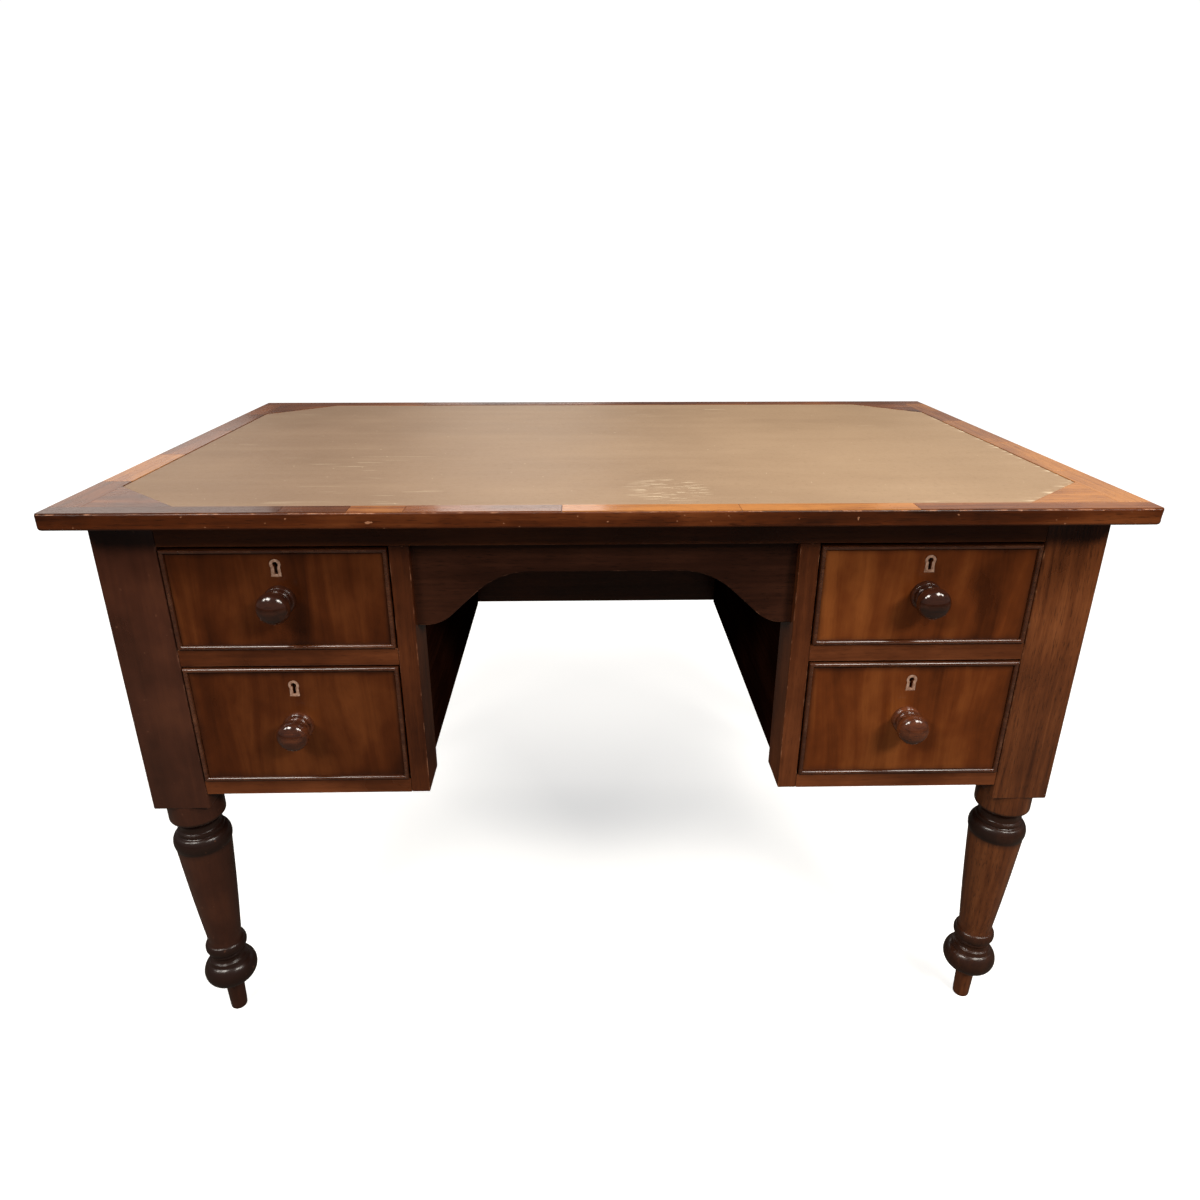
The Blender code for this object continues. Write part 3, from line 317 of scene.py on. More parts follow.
def make_materials():
    """Every finish on the desk, by the name of the record's slot or of the piece that needs its own."""
    umber = dict(dark=(0.026, 0.0078, 0.0038), mid=(0.061, 0.0185, 0.0092), light=(0.112, 0.036, 0.016))
    russet = dict(dark=(0.046, 0.0120, 0.0038), mid=(0.126, 0.0355, 0.0100), light=(0.225, 0.072, 0.022))
    # shade_rim paints shade round each drawer front's rim, inside the bead.
    veneer_figure = dict(ribbon=0.7, fine=0.35, mottle=2.0, sway=0.085, pores=0.12, specular=0.25,
                         coat=0.08, shade_rim=True)
    return {
        "leg_left": timber("post_mahogany_dark", **umber, worn=(0.17, 0.07, 0.04), ribbon=0.3, fine=0.4,
                           mottle=2.0, pores=0.08, chipped=0.4, coat=0.35, specular=0.6),
        "leg_right": timber("post_mahogany_red", **russet, worn=(0.26, 0.11, 0.05), ribbon=0.6, fine=1.3,
                            mottle=1.2, pores=0.6, coat=0.35, specular=0.6),
        "rail": timber("rail_mahogany", dark=(0.032, 0.0080, 0.0030), mid=(0.088, 0.0235, 0.0072),
                       light=(0.172, 0.050, 0.0160), worn=(0.30, 0.13, 0.07), ribbon=0.4, fine=0.7,
                       mottle=1.6, pores=0.3),
        # Painted shade: the apron is coloured very dark for the shade under the top's overhang.
        "apron": timber("apron_mahogany", dark=(0.012, 0.0040, 0.0022), mid=(0.027, 0.0085, 0.0044),
                        light=(0.060, 0.020, 0.010), worn=(0.16, 0.07, 0.04), ribbon=0.5, fine=0.7,
                        specular=0.25, coat=0.05),
        "front_left": timber("drawer_veneer_brown", dark=(0.030, 0.0070, 0.0020),
                             mid=(0.070, 0.0165, 0.0040), light=(0.130, 0.036, 0.0090),
                             worn=(0.28, 0.12, 0.06), **veneer_figure),
        "front_right": timber("drawer_veneer_red", dark=(0.048, 0.0110, 0.0026),
                              mid=(0.122, 0.0290, 0.0062), light=(0.215, 0.062, 0.0140),
                              worn=(0.32, 0.14, 0.07), **veneer_figure),
        "bead": timber("bead_mahogany", dark=(0.024, 0.0065, 0.0026), mid=(0.060, 0.017, 0.0065),
                       light=(0.13, 0.045, 0.019), worn=(0.40, 0.20, 0.11), roughness=0.17, coat=1.0,
                       specular=0.7, ribbon=0.3, ripples=0.10),
        "edge": timber("top_edge_mahogany", dark=(0.026, 0.0070, 0.0026), mid=(0.072, 0.0165, 0.0040),
                       light=(0.140, 0.038, 0.0100), worn=(0.42, 0.20, 0.11), ribbon=0.6, mottle=2.2,
                       chipped=0.7),
        "banding": timber("banding_mahogany", dark=(0.075, 0.023, 0.010), mid=(0.24, 0.080, 0.028),
                          light=(0.52, 0.21, 0.055), worn=(0.55, 0.30, 0.18), roughness=0.26, specular=0.5,
                          coat=0.3, ribbon=0.45, fine=0.7, pores=0.3),
        # Painted shade: the kneehole's sides are coloured near black and given no shine, for the shade
        # deep in the kneehole.
        "inside": timber("kneehole_mahogany", dark=(0.005, 0.0013, 0.0007), mid=(0.013, 0.0034, 0.0016),
                         light=(0.030, 0.009, 0.0040), worn=(0.10, 0.04, 0.02), roughness=0.65, coat=0.0,
                         specular=0.0),
        "knob": timber("knob_mahogany", dark=(0.012, 0.0045, 0.0030), mid=(0.046, 0.0135, 0.0066),
                       light=(0.150, 0.042, 0.015), worn=(0.18, 0.09, 0.05), roughness=0.16, specular=0.6,
                       coat=1.0, ribbon=0.3, pores=0.15, ripples=0.12),
        "lining": timber("lining_oak", dark=(0.20, 0.115, 0.055), mid=(0.36, 0.225, 0.115),
                         light=(0.52, 0.36, 0.20), worn=(0.30, 0.20, 0.12), roughness=0.55, specular=0.3,
                         coat=0.0, ribbon=0.35, pores=0.6),
        "leather": old_leather(),
        "brass": metal("lock_brass_old", (0.66, 0.47, 0.20), (0.30, 0.20, 0.09), 0.30),
        "steel": metal("bolt_steel", (0.48, 0.46, 0.43), (0.20, 0.17, 0.14), 0.32, 110.0),
        "plate": key_plate_metal(),
    }


# ======== helpers for pieces ========

def piece_from(shape, name):
    """Turns a bmesh into an object at the origin, with its normals outwards."""
    bmesh.ops.recalc_face_normals(shape, faces=shape.faces)
    mesh = bpy.data.meshes.new(name)
    shape.to_mesh(mesh)
    shape.free()
    piece = bpy.data.objects.new(name, mesh)
    bpy.context.scene.collection.objects.link(piece)
    return piece


def store(mesh, name, values, kind="FLOAT"):
    """Keeps one value for each of the mesh's points under a name that its material reads."""
    layer = mesh.attributes.new(name, kind, "POINT")
    slot = "vector" if kind == "FLOAT_VECTOR" else "value"
    layer.data.foreach_set(slot, np.asarray(values, np.float32).ravel())


def corners_of(mesh):
    points = np.empty(len(mesh.vertices) * 3, np.float32)
    mesh.vertices.foreach_get("co", points)
    return points.reshape(-1, 3)


GRAIN_ORDER = {"X": (0, 1, 2), "Y": (1, 0, 2), "Z": (2, 0, 1)}


def give_grain(piece, along, tone=0.5):
    """Stores each point's place along and across the grain, shifted so that no two pieces match."""
    chance = random.Random(piece.name)
    shift = np.array([chance.uniform(0, 40) for _ in range(3)], np.float32)
    points = corners_of(piece.data)
    store(piece.data, "grain", points[:, GRAIN_ORDER[along]] + shift, kind="FLOAT_VECTOR")
    store(piece.data, "tone", np.zeros(len(points)) + tone + chance.uniform(-0.04, 0.04))


def fit(piece, material, slot, body, *replaced):
    """Finishes a piece: its material, the body that it moves with and the CAD nodes it stands for."""
    piece.data.materials.clear()
    piece.data.materials.append(material)
    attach(piece, body)
    if replaced:
        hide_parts(*replaced)


def soften(shape, width, steps=2, angle=radians(30)):
    """Rounds the outer arrises and marks the new strips as worn edges."""
    mark = shape.faces.layers.float.new("arris")
    edges = [e for e in shape.edges if len(e.link_faces) == 2 and e.is_convex
             and e.calc_face_angle(0.0) > angle]
    made = bmesh.ops.bevel(shape, geom=edges, offset=width, segments=steps, profile=0.5,
                           affect="EDGES", clamp_overlap=True)
    for face in made["faces"]:
        face[mark] = 1.0


def dressed(node_name, width, suffix="_board"):
    """A copy of a CAD piece with its joints as they are and its arrises eased."""
    shape = bmesh.new()
    shape.from_mesh(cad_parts[node_name].data)
    bmesh.ops.remove_doubles(shape, verts=shape.verts, dist=0.00001)
    bmesh.ops.dissolve_limit(shape, angle_limit=radians(1), verts=shape.verts, edges=shape.edges)
    bmesh.ops.triangulate(shape, faces=[f for f in shape.faces if len(f.verts) > 4])
    soften(shape, width)
    return piece_from(shape, node_name + suffix)


def board(node_name, material, slot, body, along, width=0.0008, tone=0.5):
    piece = dressed(node_name, width)
    give_grain(piece, along, tone)
    fit(piece, material, slot, body, node_name)


def swell(z_top, z_foot, root, bulge, steps=12):
    """Profile points of a half-round bead, or of a cove where bulge is less than root."""
    points = []
    for i in range(steps + 1):
        a = pi * i / steps
        points.append((root + (bulge - root) * sin(a), z_top + (z_foot - z_top) * (1 - cos(a)) / 2))
    return points


def revolve(shape, profile, steps, place):
    """Turns (radius, height) points round an upright axis; the ends lie on the axis."""
    rings = []
    for radius, height in profile:
        turns = [2 * pi * k / steps for k in range(1 if radius == 0 else steps)]
        rings.append([shape.verts.new((radius * cos(a), radius * sin(a), height)) for a in turns])
    for upper, lower in zip(rings, rings[1:]):
        for k in range(steps):
            after = (k + 1) % steps
            if len(upper) == 1:
                corners = (upper[0], lower[after], lower[k])
            elif len(lower) == 1:
                corners = (upper[k], upper[after], lower[0])
            else:
                corners = (upper[k], upper[after], lower[after], lower[k])
            shape.faces.new(corners)
    bmesh.ops.transform(shape, matrix=place, verts=shape.verts)


def smooth_round(piece, angle=radians(38)):
    piece.data.shade_smooth()
    piece.data.set_sharp_from_angle(angle=angle)


# ======== legs ========

POST_HALF = 0.035
BLOCK_LONG = 0.743 - 0.365
GRIME_FADE = 0.006
TURNING_SMOKE = {"left": 0.22, "right": 0.04}


def arc_points(centre_r, centre_z, reach_r, reach_z, start, end, steps):
    """Points of an elliptic arc between two angles; 90 is upwards and 0 outwards."""
    points = []
    for i in range(steps + 1):
        a = radians(start + (end - start) * i / steps)
        points.append((centre_r + reach_r * cos(a), centre_z + reach_z * sin(a)))
    return points


def leg_profile(block_under):
    """The turned part from inside the post to the floor: drum, neck, shoulder, taper, ring, bulb, peg."""
    profile = [(0, block_under + 0.020), (0.0342, block_under + 0.020), (0.0342, block_under - 0.0255)]
    profile += arc_points(0.0312, block_under - 0.0265, 0.0030, 0.0045, 20, -70, 6)
    profile += [(0.0300, block_under - 0.0318), (0.0268, block_under - 0.0370)]
    neck = block_under - 0.0375
    profile += swell(neck, neck - 0.0100, 0.0262, 0.0248, 8)
    profile += [(0.0282, neck - 0.0110), (0.0288, neck - 0.0140), (0.0282, neck - 0.0158)]
    shoulder = neck - 0.0290
    profile += arc_points(0.0288, shoulder, 0.0070, 0.0125, 88, -40, 16)
    start, foot, bulb = shoulder - 0.0105, 0.1265, 0.0735
    for i in range(25):
        t = i / 24
        profile.append((0.0340 + (0.0213 - 0.0340) * t + 0.0007 * sin(pi * t), start + (foot - start) * t))
    profile += swell(0.1245, 0.1085, 0.0222, 0.0268)
    profile += [(0.0232, 0.1075), (0.0236, 0.1058), (0.0228, 0.1045)]
    profile += swell(0.1042, 0.0965, 0.0226, 0.0212, 6)
    profile += [(0.0245, 0.0950), (0.0250, 0.0925), (0.0262, 0.0905)]
    profile += arc_points(0.0215, bulb, 0.0130, 0.0172, 72, -90, 20)
    profile += [(0.0135, bulb - 0.0176), (0.0126, bulb - 0.0186)]
    profile += [(0.0125 - 0.0015 * t / 8, 0.0540 - 0.0500 * t / 8) for t in range(9)]
    profile += arc_points(0.0098, 0.0022, 0.0010, 0.0022, 0, -90, 4)
    profile += [(0, 0)]
    return profile


def grime_at(z, block_under):
    """How blackened the leg is at a height: the rings hold old polish, the taper and peg are rubbed."""
    rings = ((block_under - 0.080, block_under - 0.024), (0.054, 0.129))
    for low, high in rings:
        if low < z < high:
            return min(1.0, min(z - low, high - z) / GRIME_FADE)
    return 0.0


def make_leg(row, hand, materials):
    """A square post and its turned foot, joined into one piece and smoked with old polish."""
    node_name = f"leg_{row}_{hand}"
    low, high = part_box(node_name)
    middle = (low + high) / 2
    block_under = high.z - BLOCK_LONG
    shape = bmesh.new()
    bmesh.ops.create_cube(shape, size=1.0)
    height = high.z - block_under
    size = Matrix.Diagonal((2 * POST_HALF, 2 * POST_HALF, height, 1.0))
    place = Matrix.Translation((middle.x, middle.y, block_under + height / 2))
    bmesh.ops.transform(shape, matrix=place @ size, verts=shape.verts)
    soften(shape, 0.0018, 3)
    post = piece_from(shape, f"post_{row}_{hand}")
    shape = bmesh.new()
    revolve(shape, leg_profile(block_under), 96, Matrix.Translation((middle.x, middle.y, 0)))
    turning = piece_from(shape, f"turned_leg_{row}_{hand}")
    joined = turning.modifiers.new("post", "BOOLEAN")
    joined.operation = "UNION"
    joined.object = post
    leg = baked(turning, f"post_and_leg_{row}_{hand}")
    bpy.data.objects.remove(post)
    grime = []
    for z in corners_of(leg.data)[:, 2]:
        least = TURNING_SMOKE[hand] if z < block_under else 0.0
        grime.append(max(1.15 * grime_at(z, block_under), least))
    store(leg.data, "grime", grime)
    smooth_round(leg)
    give_grain(leg, "Z", 0.50 if row == "front" else 0.45)
    fit(leg, materials["leg_" + hand], "leg_wood", DESK, node_name)


def baked(piece, name):
    """A plain mesh object made from a piece with its modifiers."""
    graph = bpy.context.evaluated_depsgraph_get()
    mesh = bpy.data.meshes.new_from_object(piece.evaluated_get(graph))
    mesh.name = name
    bpy.data.objects.remove(piece)
    made = bpy.data.objects.new(name, mesh)
    bpy.context.scene.collection.objects.link(made)
    return made


# ======== top ========

BANDING_THICK = 0.0010
SEAM = 0.00025
LEATHER_GAP = 0.0007
LEATHER_SHRUNK = 0.0005
CANT = (0.094, 0.085)


def leather_outline(shrink):
    """The sheet's eight corners, anticlockwise from the front left; shrink draws them inwards."""
    low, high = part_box("leather_top")
    x = high.x - shrink
    front, back = low.y + shrink, high.y - shrink
    in_x = x - CANT[0]
    return [Vector((-in_x, front)), Vector((in_x, front)), Vector((x, front + CANT[1])),
            Vector((x, back - CANT[1])), Vector((in_x, back)), Vector((-in_x, back)),
            Vector((-x, back - CANT[1])), Vector((-x, front + CANT[1]))]


def drawn_in(x, y, amount):
    """A corner of the top moved towards the middle along both sides."""
    return Vector((x - amount * (1 if x > 0 else -1), y - amount * (1 if y > 0 else -1)))


def plate_ring(inset, z, steps=6, spacing=0.012):
    """Points round the plate's rounded outline, close enough together to carry small dents."""
    low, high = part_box("top_board")
    radius = 0.006
    points = []
    corners = ((high.x, high.y, 0), (low.x, high.y, 90), (low.x, low.y, 180), (high.x, low.y, 270))
    for i, (x, y, start) in enumerate(corners):
        centre = drawn_in(x, y, radius)
        for k in range(steps + 1):
            a = radians(start + 90 * k / steps)
            points.append(centre + Vector((cos(a), sin(a))) * (radius - inset))
        next_x, next_y, _ = corners[(i + 1) % 4]
        a = radians(start + 90)
        far = drawn_in(next_x, next_y, radius) + Vector((cos(a), sin(a))) * (radius - inset)
        count = int((far - points[-1]).length / spacing)
        here = points[-1]
        points += [here.lerp(far, k / count) for k in range(1, count)]
    return [Vector((p.x, p.y, z)) for p in points]


def make_plate(materials):
    """The top board: a plate with eased, slightly dented edges, and a floor under banding and leather."""
    low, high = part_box("top_board")
    top = high.z - BANDING_THICK
    round_low, round_top = 0.0032, 0.0018
    quarter = [pi / 2 * i / 5 for i in range(6)]
    section = [(round_low * (1 - sin(a)), low.z + round_low * (1 - cos(a))) for a in quarter]
    foot, head = low.z + round_low, top - round_top
    section += [(0.0, foot + (head - foot) * t / 5) for t in range(1, 5)]
    section += [(round_top * (1 - cos(a)), top - round_top * (1 - sin(a))) for a in quarter]
    shape = bmesh.new()
    mark = shape.faces.layers.float.new("arris")
    rings = [[shape.verts.new(p) for p in plate_ring(inset, z)] for inset, z in section]
    count = len(rings[0])
    for level, (lower, upper) in enumerate(zip(rings, rings[1:])):
        for k in range(count):
            after = (k + 1) % count
            face = shape.faces.new((lower[k], lower[after], upper[after], upper[k]))
            face[mark] = 0.8 if level > len(rings) - 5 else 0.0
    shape.faces.new(list(reversed(rings[0])))
    shape.faces.new(rings[-1])
    for ring in rings:
        for vert in ring:
            dent = noise.noise(vert.co * 38) - 0.32
            wave = noise.noise(vert.co * 9) * 0.00012
            inward = Vector((-vert.co.x, -vert.co.y, 0)).normalized()
            vert.co += inward * (max(0.0, dent) * 0.0022 + wave + 0.00012)
    plate = piece_from(shape, "top_plate")
    give_grain(plate, "X")
    fit(plate, materials["edge"], "top_wood", DESK, "top_board")


# Strips of veneer along each side of the border: where each ends, as a share, and its tone.
STRIPS = {
    "front": ((0.21, 0.08), (0.27, 0.02), (0.32, 0.60), (0.46, 0.42), (0.62, 0.84), (0.78, 0.80),
              (1.0, 0.46)),
    "right": ((0.22, 0.95), (0.48, 0.84), (0.74, 0.78), (1.0, 0.70)),
    "back": ((0.24, 0.30), (0.50, 0.20), (0.73, 0.34), (1.0, 0.24)),
    "left": ((0.17, 0.16), (0.39, 0.80), (0.64, 0.42), (0.86, 0.32), (1.0, 0.22)),
}
CORNER_TONES = {(-1, -1): 0.14, (1, -1): 0.90, (1, 1): 0.30, (-1, 1): 0.20}


def veneer(shape, corners, z0, z1, tone, along, layers):
    """A thin sheet over four or three corners, with its own tone and grain."""
    grain_layer, tone_layer = layers
    centre = sum(corners, Vector((0, 0))) / len(corners)
    pulled = []
    for corner in corners:
        way = centre - corner
        pulled.append(corner + way.normalized() * SEAM)
    chance = random.Random(tone)
    shift = Vector([chance.uniform(0, 40) for _ in range(3)])
    order = GRAIN_ORDER[along]
    rings = []
    for z, inset in ((z0, 0.0), (z1 - 0.0002, 0.0), (z1, 0.0002)):
        ring = []
        for corner in pulled:
            way = (centre - corner).normalized() * inset
            vert = shape.verts.new((corner.x + way.x, corner.y + way.y, z))
            vert[grain_layer] = Vector([vert.co[i] for i in order]) + shift
            vert[tone_layer] = tone
            ring.append(vert)
        rings.append(ring)
    count = len(pulled)
    for lower, upper in zip(rings, rings[1:]):
        for k in range(count):
            shape.faces.new((lower[k], lower[(k + 1) % count], upper[(k + 1) % count], upper[k]))
    shape.faces.new(rings[-1])
    shape.faces.new(list(reversed(rings[0])))


def make_banding(materials):
    """The wooden border: strips of veneer along each side and a triangle at each cut-off corner."""
    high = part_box("top_board")[1]
    z0, z1 = high.z - BANDING_THICK + 0.00004, high.z
    out_x, out_y = high.x - 0.0020, high.y - 0.0020
    rim = leather_outline(-LEATHER_GAP)
    in_x, in_front, in_back = rim[2].x, rim[0].y, rim[4].y
    sides = {"front": (Vector((-out_x, -out_y)), Vector((out_x, in_front)), "X"),
             "back": (Vector((-out_x, in_back)), Vector((out_x, out_y)), "X"),
             "left": (Vector((-out_x, in_front)), Vector((-in_x, in_back)), "Y"),
             "right": (Vector((in_x, in_front)), Vector((out_x, in_back)), "Y")}
    shape = bmesh.new()
    layers = (shape.verts.layers.float_vector.new("grain"), shape.verts.layers.float.new("tone"))
    for side, (a, b, along) in sides.items():
        start = 0.0
        for end, tone in STRIPS[side]:
            if along == "X":
                corners = [Vector((a.x + (b.x - a.x) * share, y)) for share, y in
                           ((start, a.y), (end, a.y), (end, b.y), (start, b.y))]
            else:
                corners = [Vector((x, a.y + (b.y - a.y) * share)) for x, share in
                           ((a.x, start), (b.x, start), (b.x, end), (a.x, end))]
            veneer(shape, corners, z0, z1, tone, along, layers)
            start = end
    for (sign_x, sign_y), tone in CORNER_TONES.items():
        y = in_front if sign_y < 0 else in_back
        right_angle = Vector((sign_x * in_x, y))
        along_x = right_angle - Vector((sign_x * (CANT[0] + 0.001), 0))
        along_y = right_angle - Vector((0, sign_y * (CANT[1] + 0.001)))
        veneer(shape, [right_angle, along_x, along_y], z0, z1, tone, "X", layers)
    piece = piece_from(shape, "top_banding")
    fit(piece, materials["banding"], "top_wood", DESK)


RIM_WIDE = 0.009


def near_rim(point, outline):
    """1 at the sheet's edge, falling to 0 at the rim's width inwards."""
    here = Vector((point[0], point[1]))
    nearest = 1.0
    for a, b in zip(outline, outline[1:] + outline[:1]):
        side = (b - a).normalized()
        nearest = min(nearest, abs(side.cross(here - a)))
    return max(0.0, 1.0 - nearest / RIM_WIDE)


def make_leather(materials):
    """The leather: a fine sheet with cut-off corners, slightly cockled, pressed down at its rim."""
    low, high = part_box("leather_top")
    shape = bmesh.new()
    step = 0.008
    x_count, y_count = int(2 * high.x / step), int((high.y - low.y) / step)
    bmesh.ops.create_grid(shape, x_segments=x_count, y_segments=y_count, size=0.5)
    middle_y = (low.y + high.y) / 2
    size = Matrix.Diagonal((high.x - low.x, high.y - low.y, 1, 1))
    bmesh.ops.transform(shape, matrix=Matrix.Translation((0, middle_y, high.z - 0.0004)) @ size,
                        verts=shape.verts)
    outline = leather_outline(LEATHER_SHRUNK)
    for i in range(8):
        a, b = outline[i], outline[(i + 1) % 8]
        side = Vector((b.y - a.y, a.x - b.x, 0)).normalized()
        bmesh.ops.bisect_plane(shape, geom=shape.verts[:] + shape.edges[:] + shape.faces[:],
                               plane_co=(a.x, a.y, high.z), plane_no=side, clear_outer=True, dist=1e-6)
    bmesh.ops.triangulate(shape, faces=[f for f in shape.faces if len(f.verts) > 4])
    for vert in shape.verts:
        cockle = noise.noise(Vector((vert.co.x * 11, vert.co.y * 14, 3.0))) * 0.00016
        cockle += noise.noise(Vector((vert.co.x * 45, vert.co.y * 45, 7.0))) * 0.00004
        vert.co.z += cockle - (0.0003 if vert.is_boundary else 0.0)
    rim = [e for e in shape.edges if e.is_boundary]
    made = bmesh.ops.extrude_edge_only(shape, edges=rim)
    for item in made["geom"]:
        if isinstance(item, bmesh.types.BMVert):
            item.co.z = low.z
    bmesh.ops.holes_fill(shape, edges=[e for e in shape.edges if e.is_boundary], sides=0)
    sheet = piece_from(shape, "desk_leather")
    smooth_round(sheet, radians(50))
    store(sheet.data, "rim", [near_rim(point, outline) for point in corners_of(sheet.data)])
    fit(sheet, materials["leather"], "leather", DESK, "leather_top")


# ======== carcase ========

# Half-width of the apron's middle, which keeps the darkest painted shade.
APRON_SHADED_HALF = 0.14
APRON_FLAT_HALF = 0.085
APRON_DEEP = 0.0357
KNEEHOLE_HALF = 0.2175
APRON_FOOT = 0.010


def make_apron(materials):
    """The shaped apron, cut from the CAD piece's outline with finer curves."""
    low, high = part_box("kneehole_apron")
    end, foot_x = high.x, KNEEHOLE_HALF - APRON_FOOT
    mid_z, end_z = high.z - APRON_DEEP, low.z
    points = [(APRON_FLAT_HALF, mid_z)]
    slope = radians(43)
    fall = mid_z - end_z
    round_r, hollow_r = 0.091, 0.044
    run = (fall - (round_r + hollow_r) * (1 - cos(slope))) * cos(slope) / sin(slope)
    stretch = (foot_x - APRON_FLAT_HALF) / ((round_r + hollow_r) * sin(slope) + run)
    for i in range(1, 15):
        a = slope * i / 14
        points.append((APRON_FLAT_HALF + stretch * round_r * sin(a), mid_z - round_r * (1 - cos(a))))
    for i in range(12):
        a = slope * (1 - i / 11)
        points.append((foot_x - stretch * hollow_r * sin(a), end_z + hollow_r * (1 - cos(a))))
    right = points + [(end, end_z), (end, high.z)]
    outline = right + [(-x, z) for x, z in reversed(right)]
    shape = bmesh.new()
    front = shape.faces.new([shape.verts.new((x, low.y, z)) for x, z in outline])
    made = bmesh.ops.extrude_face_region(shape, geom=[front])
    moved = [v for v in made["geom"] if isinstance(v, bmesh.types.BMVert)]
    bmesh.ops.translate(shape, vec=(0, high.y - low.y, 0), verts=moved)
    bmesh.ops.recalc_face_normals(shape, faces=shape.faces)
    soften(shape, 0.0010, 3, radians(50))
    piece = piece_from(shape, "shaped_apron")
    # Painted shade and reflection: the apron stays darkest in the middle and grows lighter towards its
    # ends, for the reflection seen there.
    outwards = np.abs(corners_of(piece.data)[:, 0]) - APRON_SHADED_HALF
    give_grain(piece, "X", 0.42 + np.clip(outwards * 5.0, 0.0, 0.45))
    fit(piece, materials["apron"], "rail_wood", DESK, "kneehole_apron")


def make_carcase(materials):
    rail, inside = materials["rail"], materials["inside"]
    board("front_top_rail", rail, "rail_wood", DESK, "X", tone=0.80)
    board("back_panel", rail, "rail_wood", DESK, "X")
    for hand in HANDS:
        board(f"{hand}_outer_side", rail, "rail_wood", DESK, "Y", tone=0.45)
        stile_tone = 0.32 if hand == "left" else 0.50
        board(f"{hand}_stile", rail, "rail_wood", DESK, "Z", 0.0010, tone=stile_tone)
        # The kneehole's sides take the near-black painted-shade finish.
        board(f"{hand}_inner_side", inside, "rail_wood", DESK, "Y")
        board(f"{hand}_middle_shelf", rail, "rail_wood", DESK, "X", 0.0007, tone=0.50)
        board(f"{hand}_bottom_shelf", rail, "rail_wood", DESK, "X", 0.0009, tone=0.74)
    make_apron(materials)


# ======== drawers ========

BEAD_STEP = 0.006


def make_bead(name, materials):
    """A half-round frame round the drawer front, mitred at the corners, with small dents."""
    low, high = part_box(f"{name}_bead")
    width, proud = 0.005, 0.0035
    front_y = low.y + proud
    section = [(0.0, high.y), (0.0, front_y - proud + width / 2)]
    section += [(width / 2 - width / 2 * cos(a), front_y - proud + width / 2 * (1 - sin(a)))
                for a in [pi * i / 10 for i in range(1, 10)]]
    section += [(width, front_y - proud + width / 2), (width, high.y)]
    corners = [(low.x, low.z, 1, 1), (high.x, low.z, -1, 1),
               (high.x, high.z, -1, -1), (low.x, high.z, 1, -1)]
    shape = bmesh.new()
    mark = shape.faces.layers.float.new("arris")
    path = []
    for i, here in enumerate(corners):
        following = corners[(i + 1) % 4]
        count = int(max(abs(following[0] - here[0]), abs(following[1] - here[1])) / BEAD_STEP)
        for k in range(count):
            path.append([a + (b - a) * k / count for a, b in zip(here, following)] + [i, k])
    rings = []
    for x, z, sx, sz, side, k in path:
        along_x = side % 2 == 0
        ring = []
        for inset, y in section:
            shift_x = inset * sx if k == 0 or not along_x else 0.0
            shift_z = inset * sz if k == 0 or along_x else 0.0
            point = Vector((x + shift_x, y, z + shift_z))
            proudness = max(0.0, front_y - y) / proud
            dent = max(0.0, noise.noise(point * 60) - 0.30) * 0.0008
            sway = noise.noise(Vector((point.x * 14, 5.0, point.z * 14))) * 0.00008
            point.y += proudness * (dent + abs(sway))
            ring.append(shape.verts.new(point))
        rings.append(ring)
    for i, ring in enumerate(rings):
        following = rings[(i + 1) % len(rings)]
        for k in range(len(section)):
            after = (k + 1) % len(section)
            face = shape.faces.new((ring[k], ring[after], following[after], following[k]))
            face[mark] = 0.12 if 4 <= k <= 7 else 0.0
    piece = piece_from(shape, f"{name}_cock_bead")
    smooth_round(piece, radians(50))
    give_grain(piece, "X", 0.5)
    fit(piece, materials["bead"], "bead_wood", f"{name}_drawer", f"{name}_bead")


KNOB_RADIUS = 0.019
KNOB_HALF = 0.014
KNOB_TONES = {"upper_left": 0.20, "lower_left": 0.66, "upper_right": 0.42, "lower_right": 0.64}


def make_knob(name, materials):
    """A turned knob: a flattened ball on a neck, with a ring and a collar."""
    low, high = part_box(f"{name}_knob")
    front_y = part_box(f"{name}_front")[0].y
    middle = (low + high) / 2
    out = front_y - low.y
    profile = [(0, out)]
    for i in range(1, 27):
        a = radians(90 - 145 * i / 26)
        profile.append((KNOB_RADIUS * cos(a), out - KNOB_HALF + KNOB_HALF * sin(a)))
    profile += [(0.0104, 0.0125), (0.0100, 0.0112)]
    profile += swell(0.0108, 0.0070, 0.0122, 0.0146, 8)
    profile += [(0.0128, 0.0066), (0.0133, 0.0060)]
    quarter = [pi / 2 * i / 8 for i in range(9)]
    profile += [(0.0155 + 0.0025 * sin(a), 0.0056 * cos(a) + 0.0002) for a in quarter]
    profile += [(0.0178, 0.0), (0.0070, 0.0), (0.0070, -0.016), (0, -0.016)]
    shape = bmesh.new()
    place = Matrix.Translation((middle.x, front_y, middle.z)) @ Matrix.Rotation(radians(90), 4, "X")
    revolve(shape, profile, 72, place)
    knob = piece_from(shape, f"{name}_turned_knob")
    smooth_round(knob, radians(42))
    give_grain(knob, "X", KNOB_TONES[name])
    fit(knob, materials["knob"], "knob_wood", f"{name}_drawer", f"{name}_knob")


# Tone of each front's veneer at its left and right ends.
FRONT_TONES = {"upper_left": (0.54, 0.30), "lower_left": (0.70, 0.42),
               "upper_right": (0.72, 0.26), "lower_right": (0.58, 0.50)}


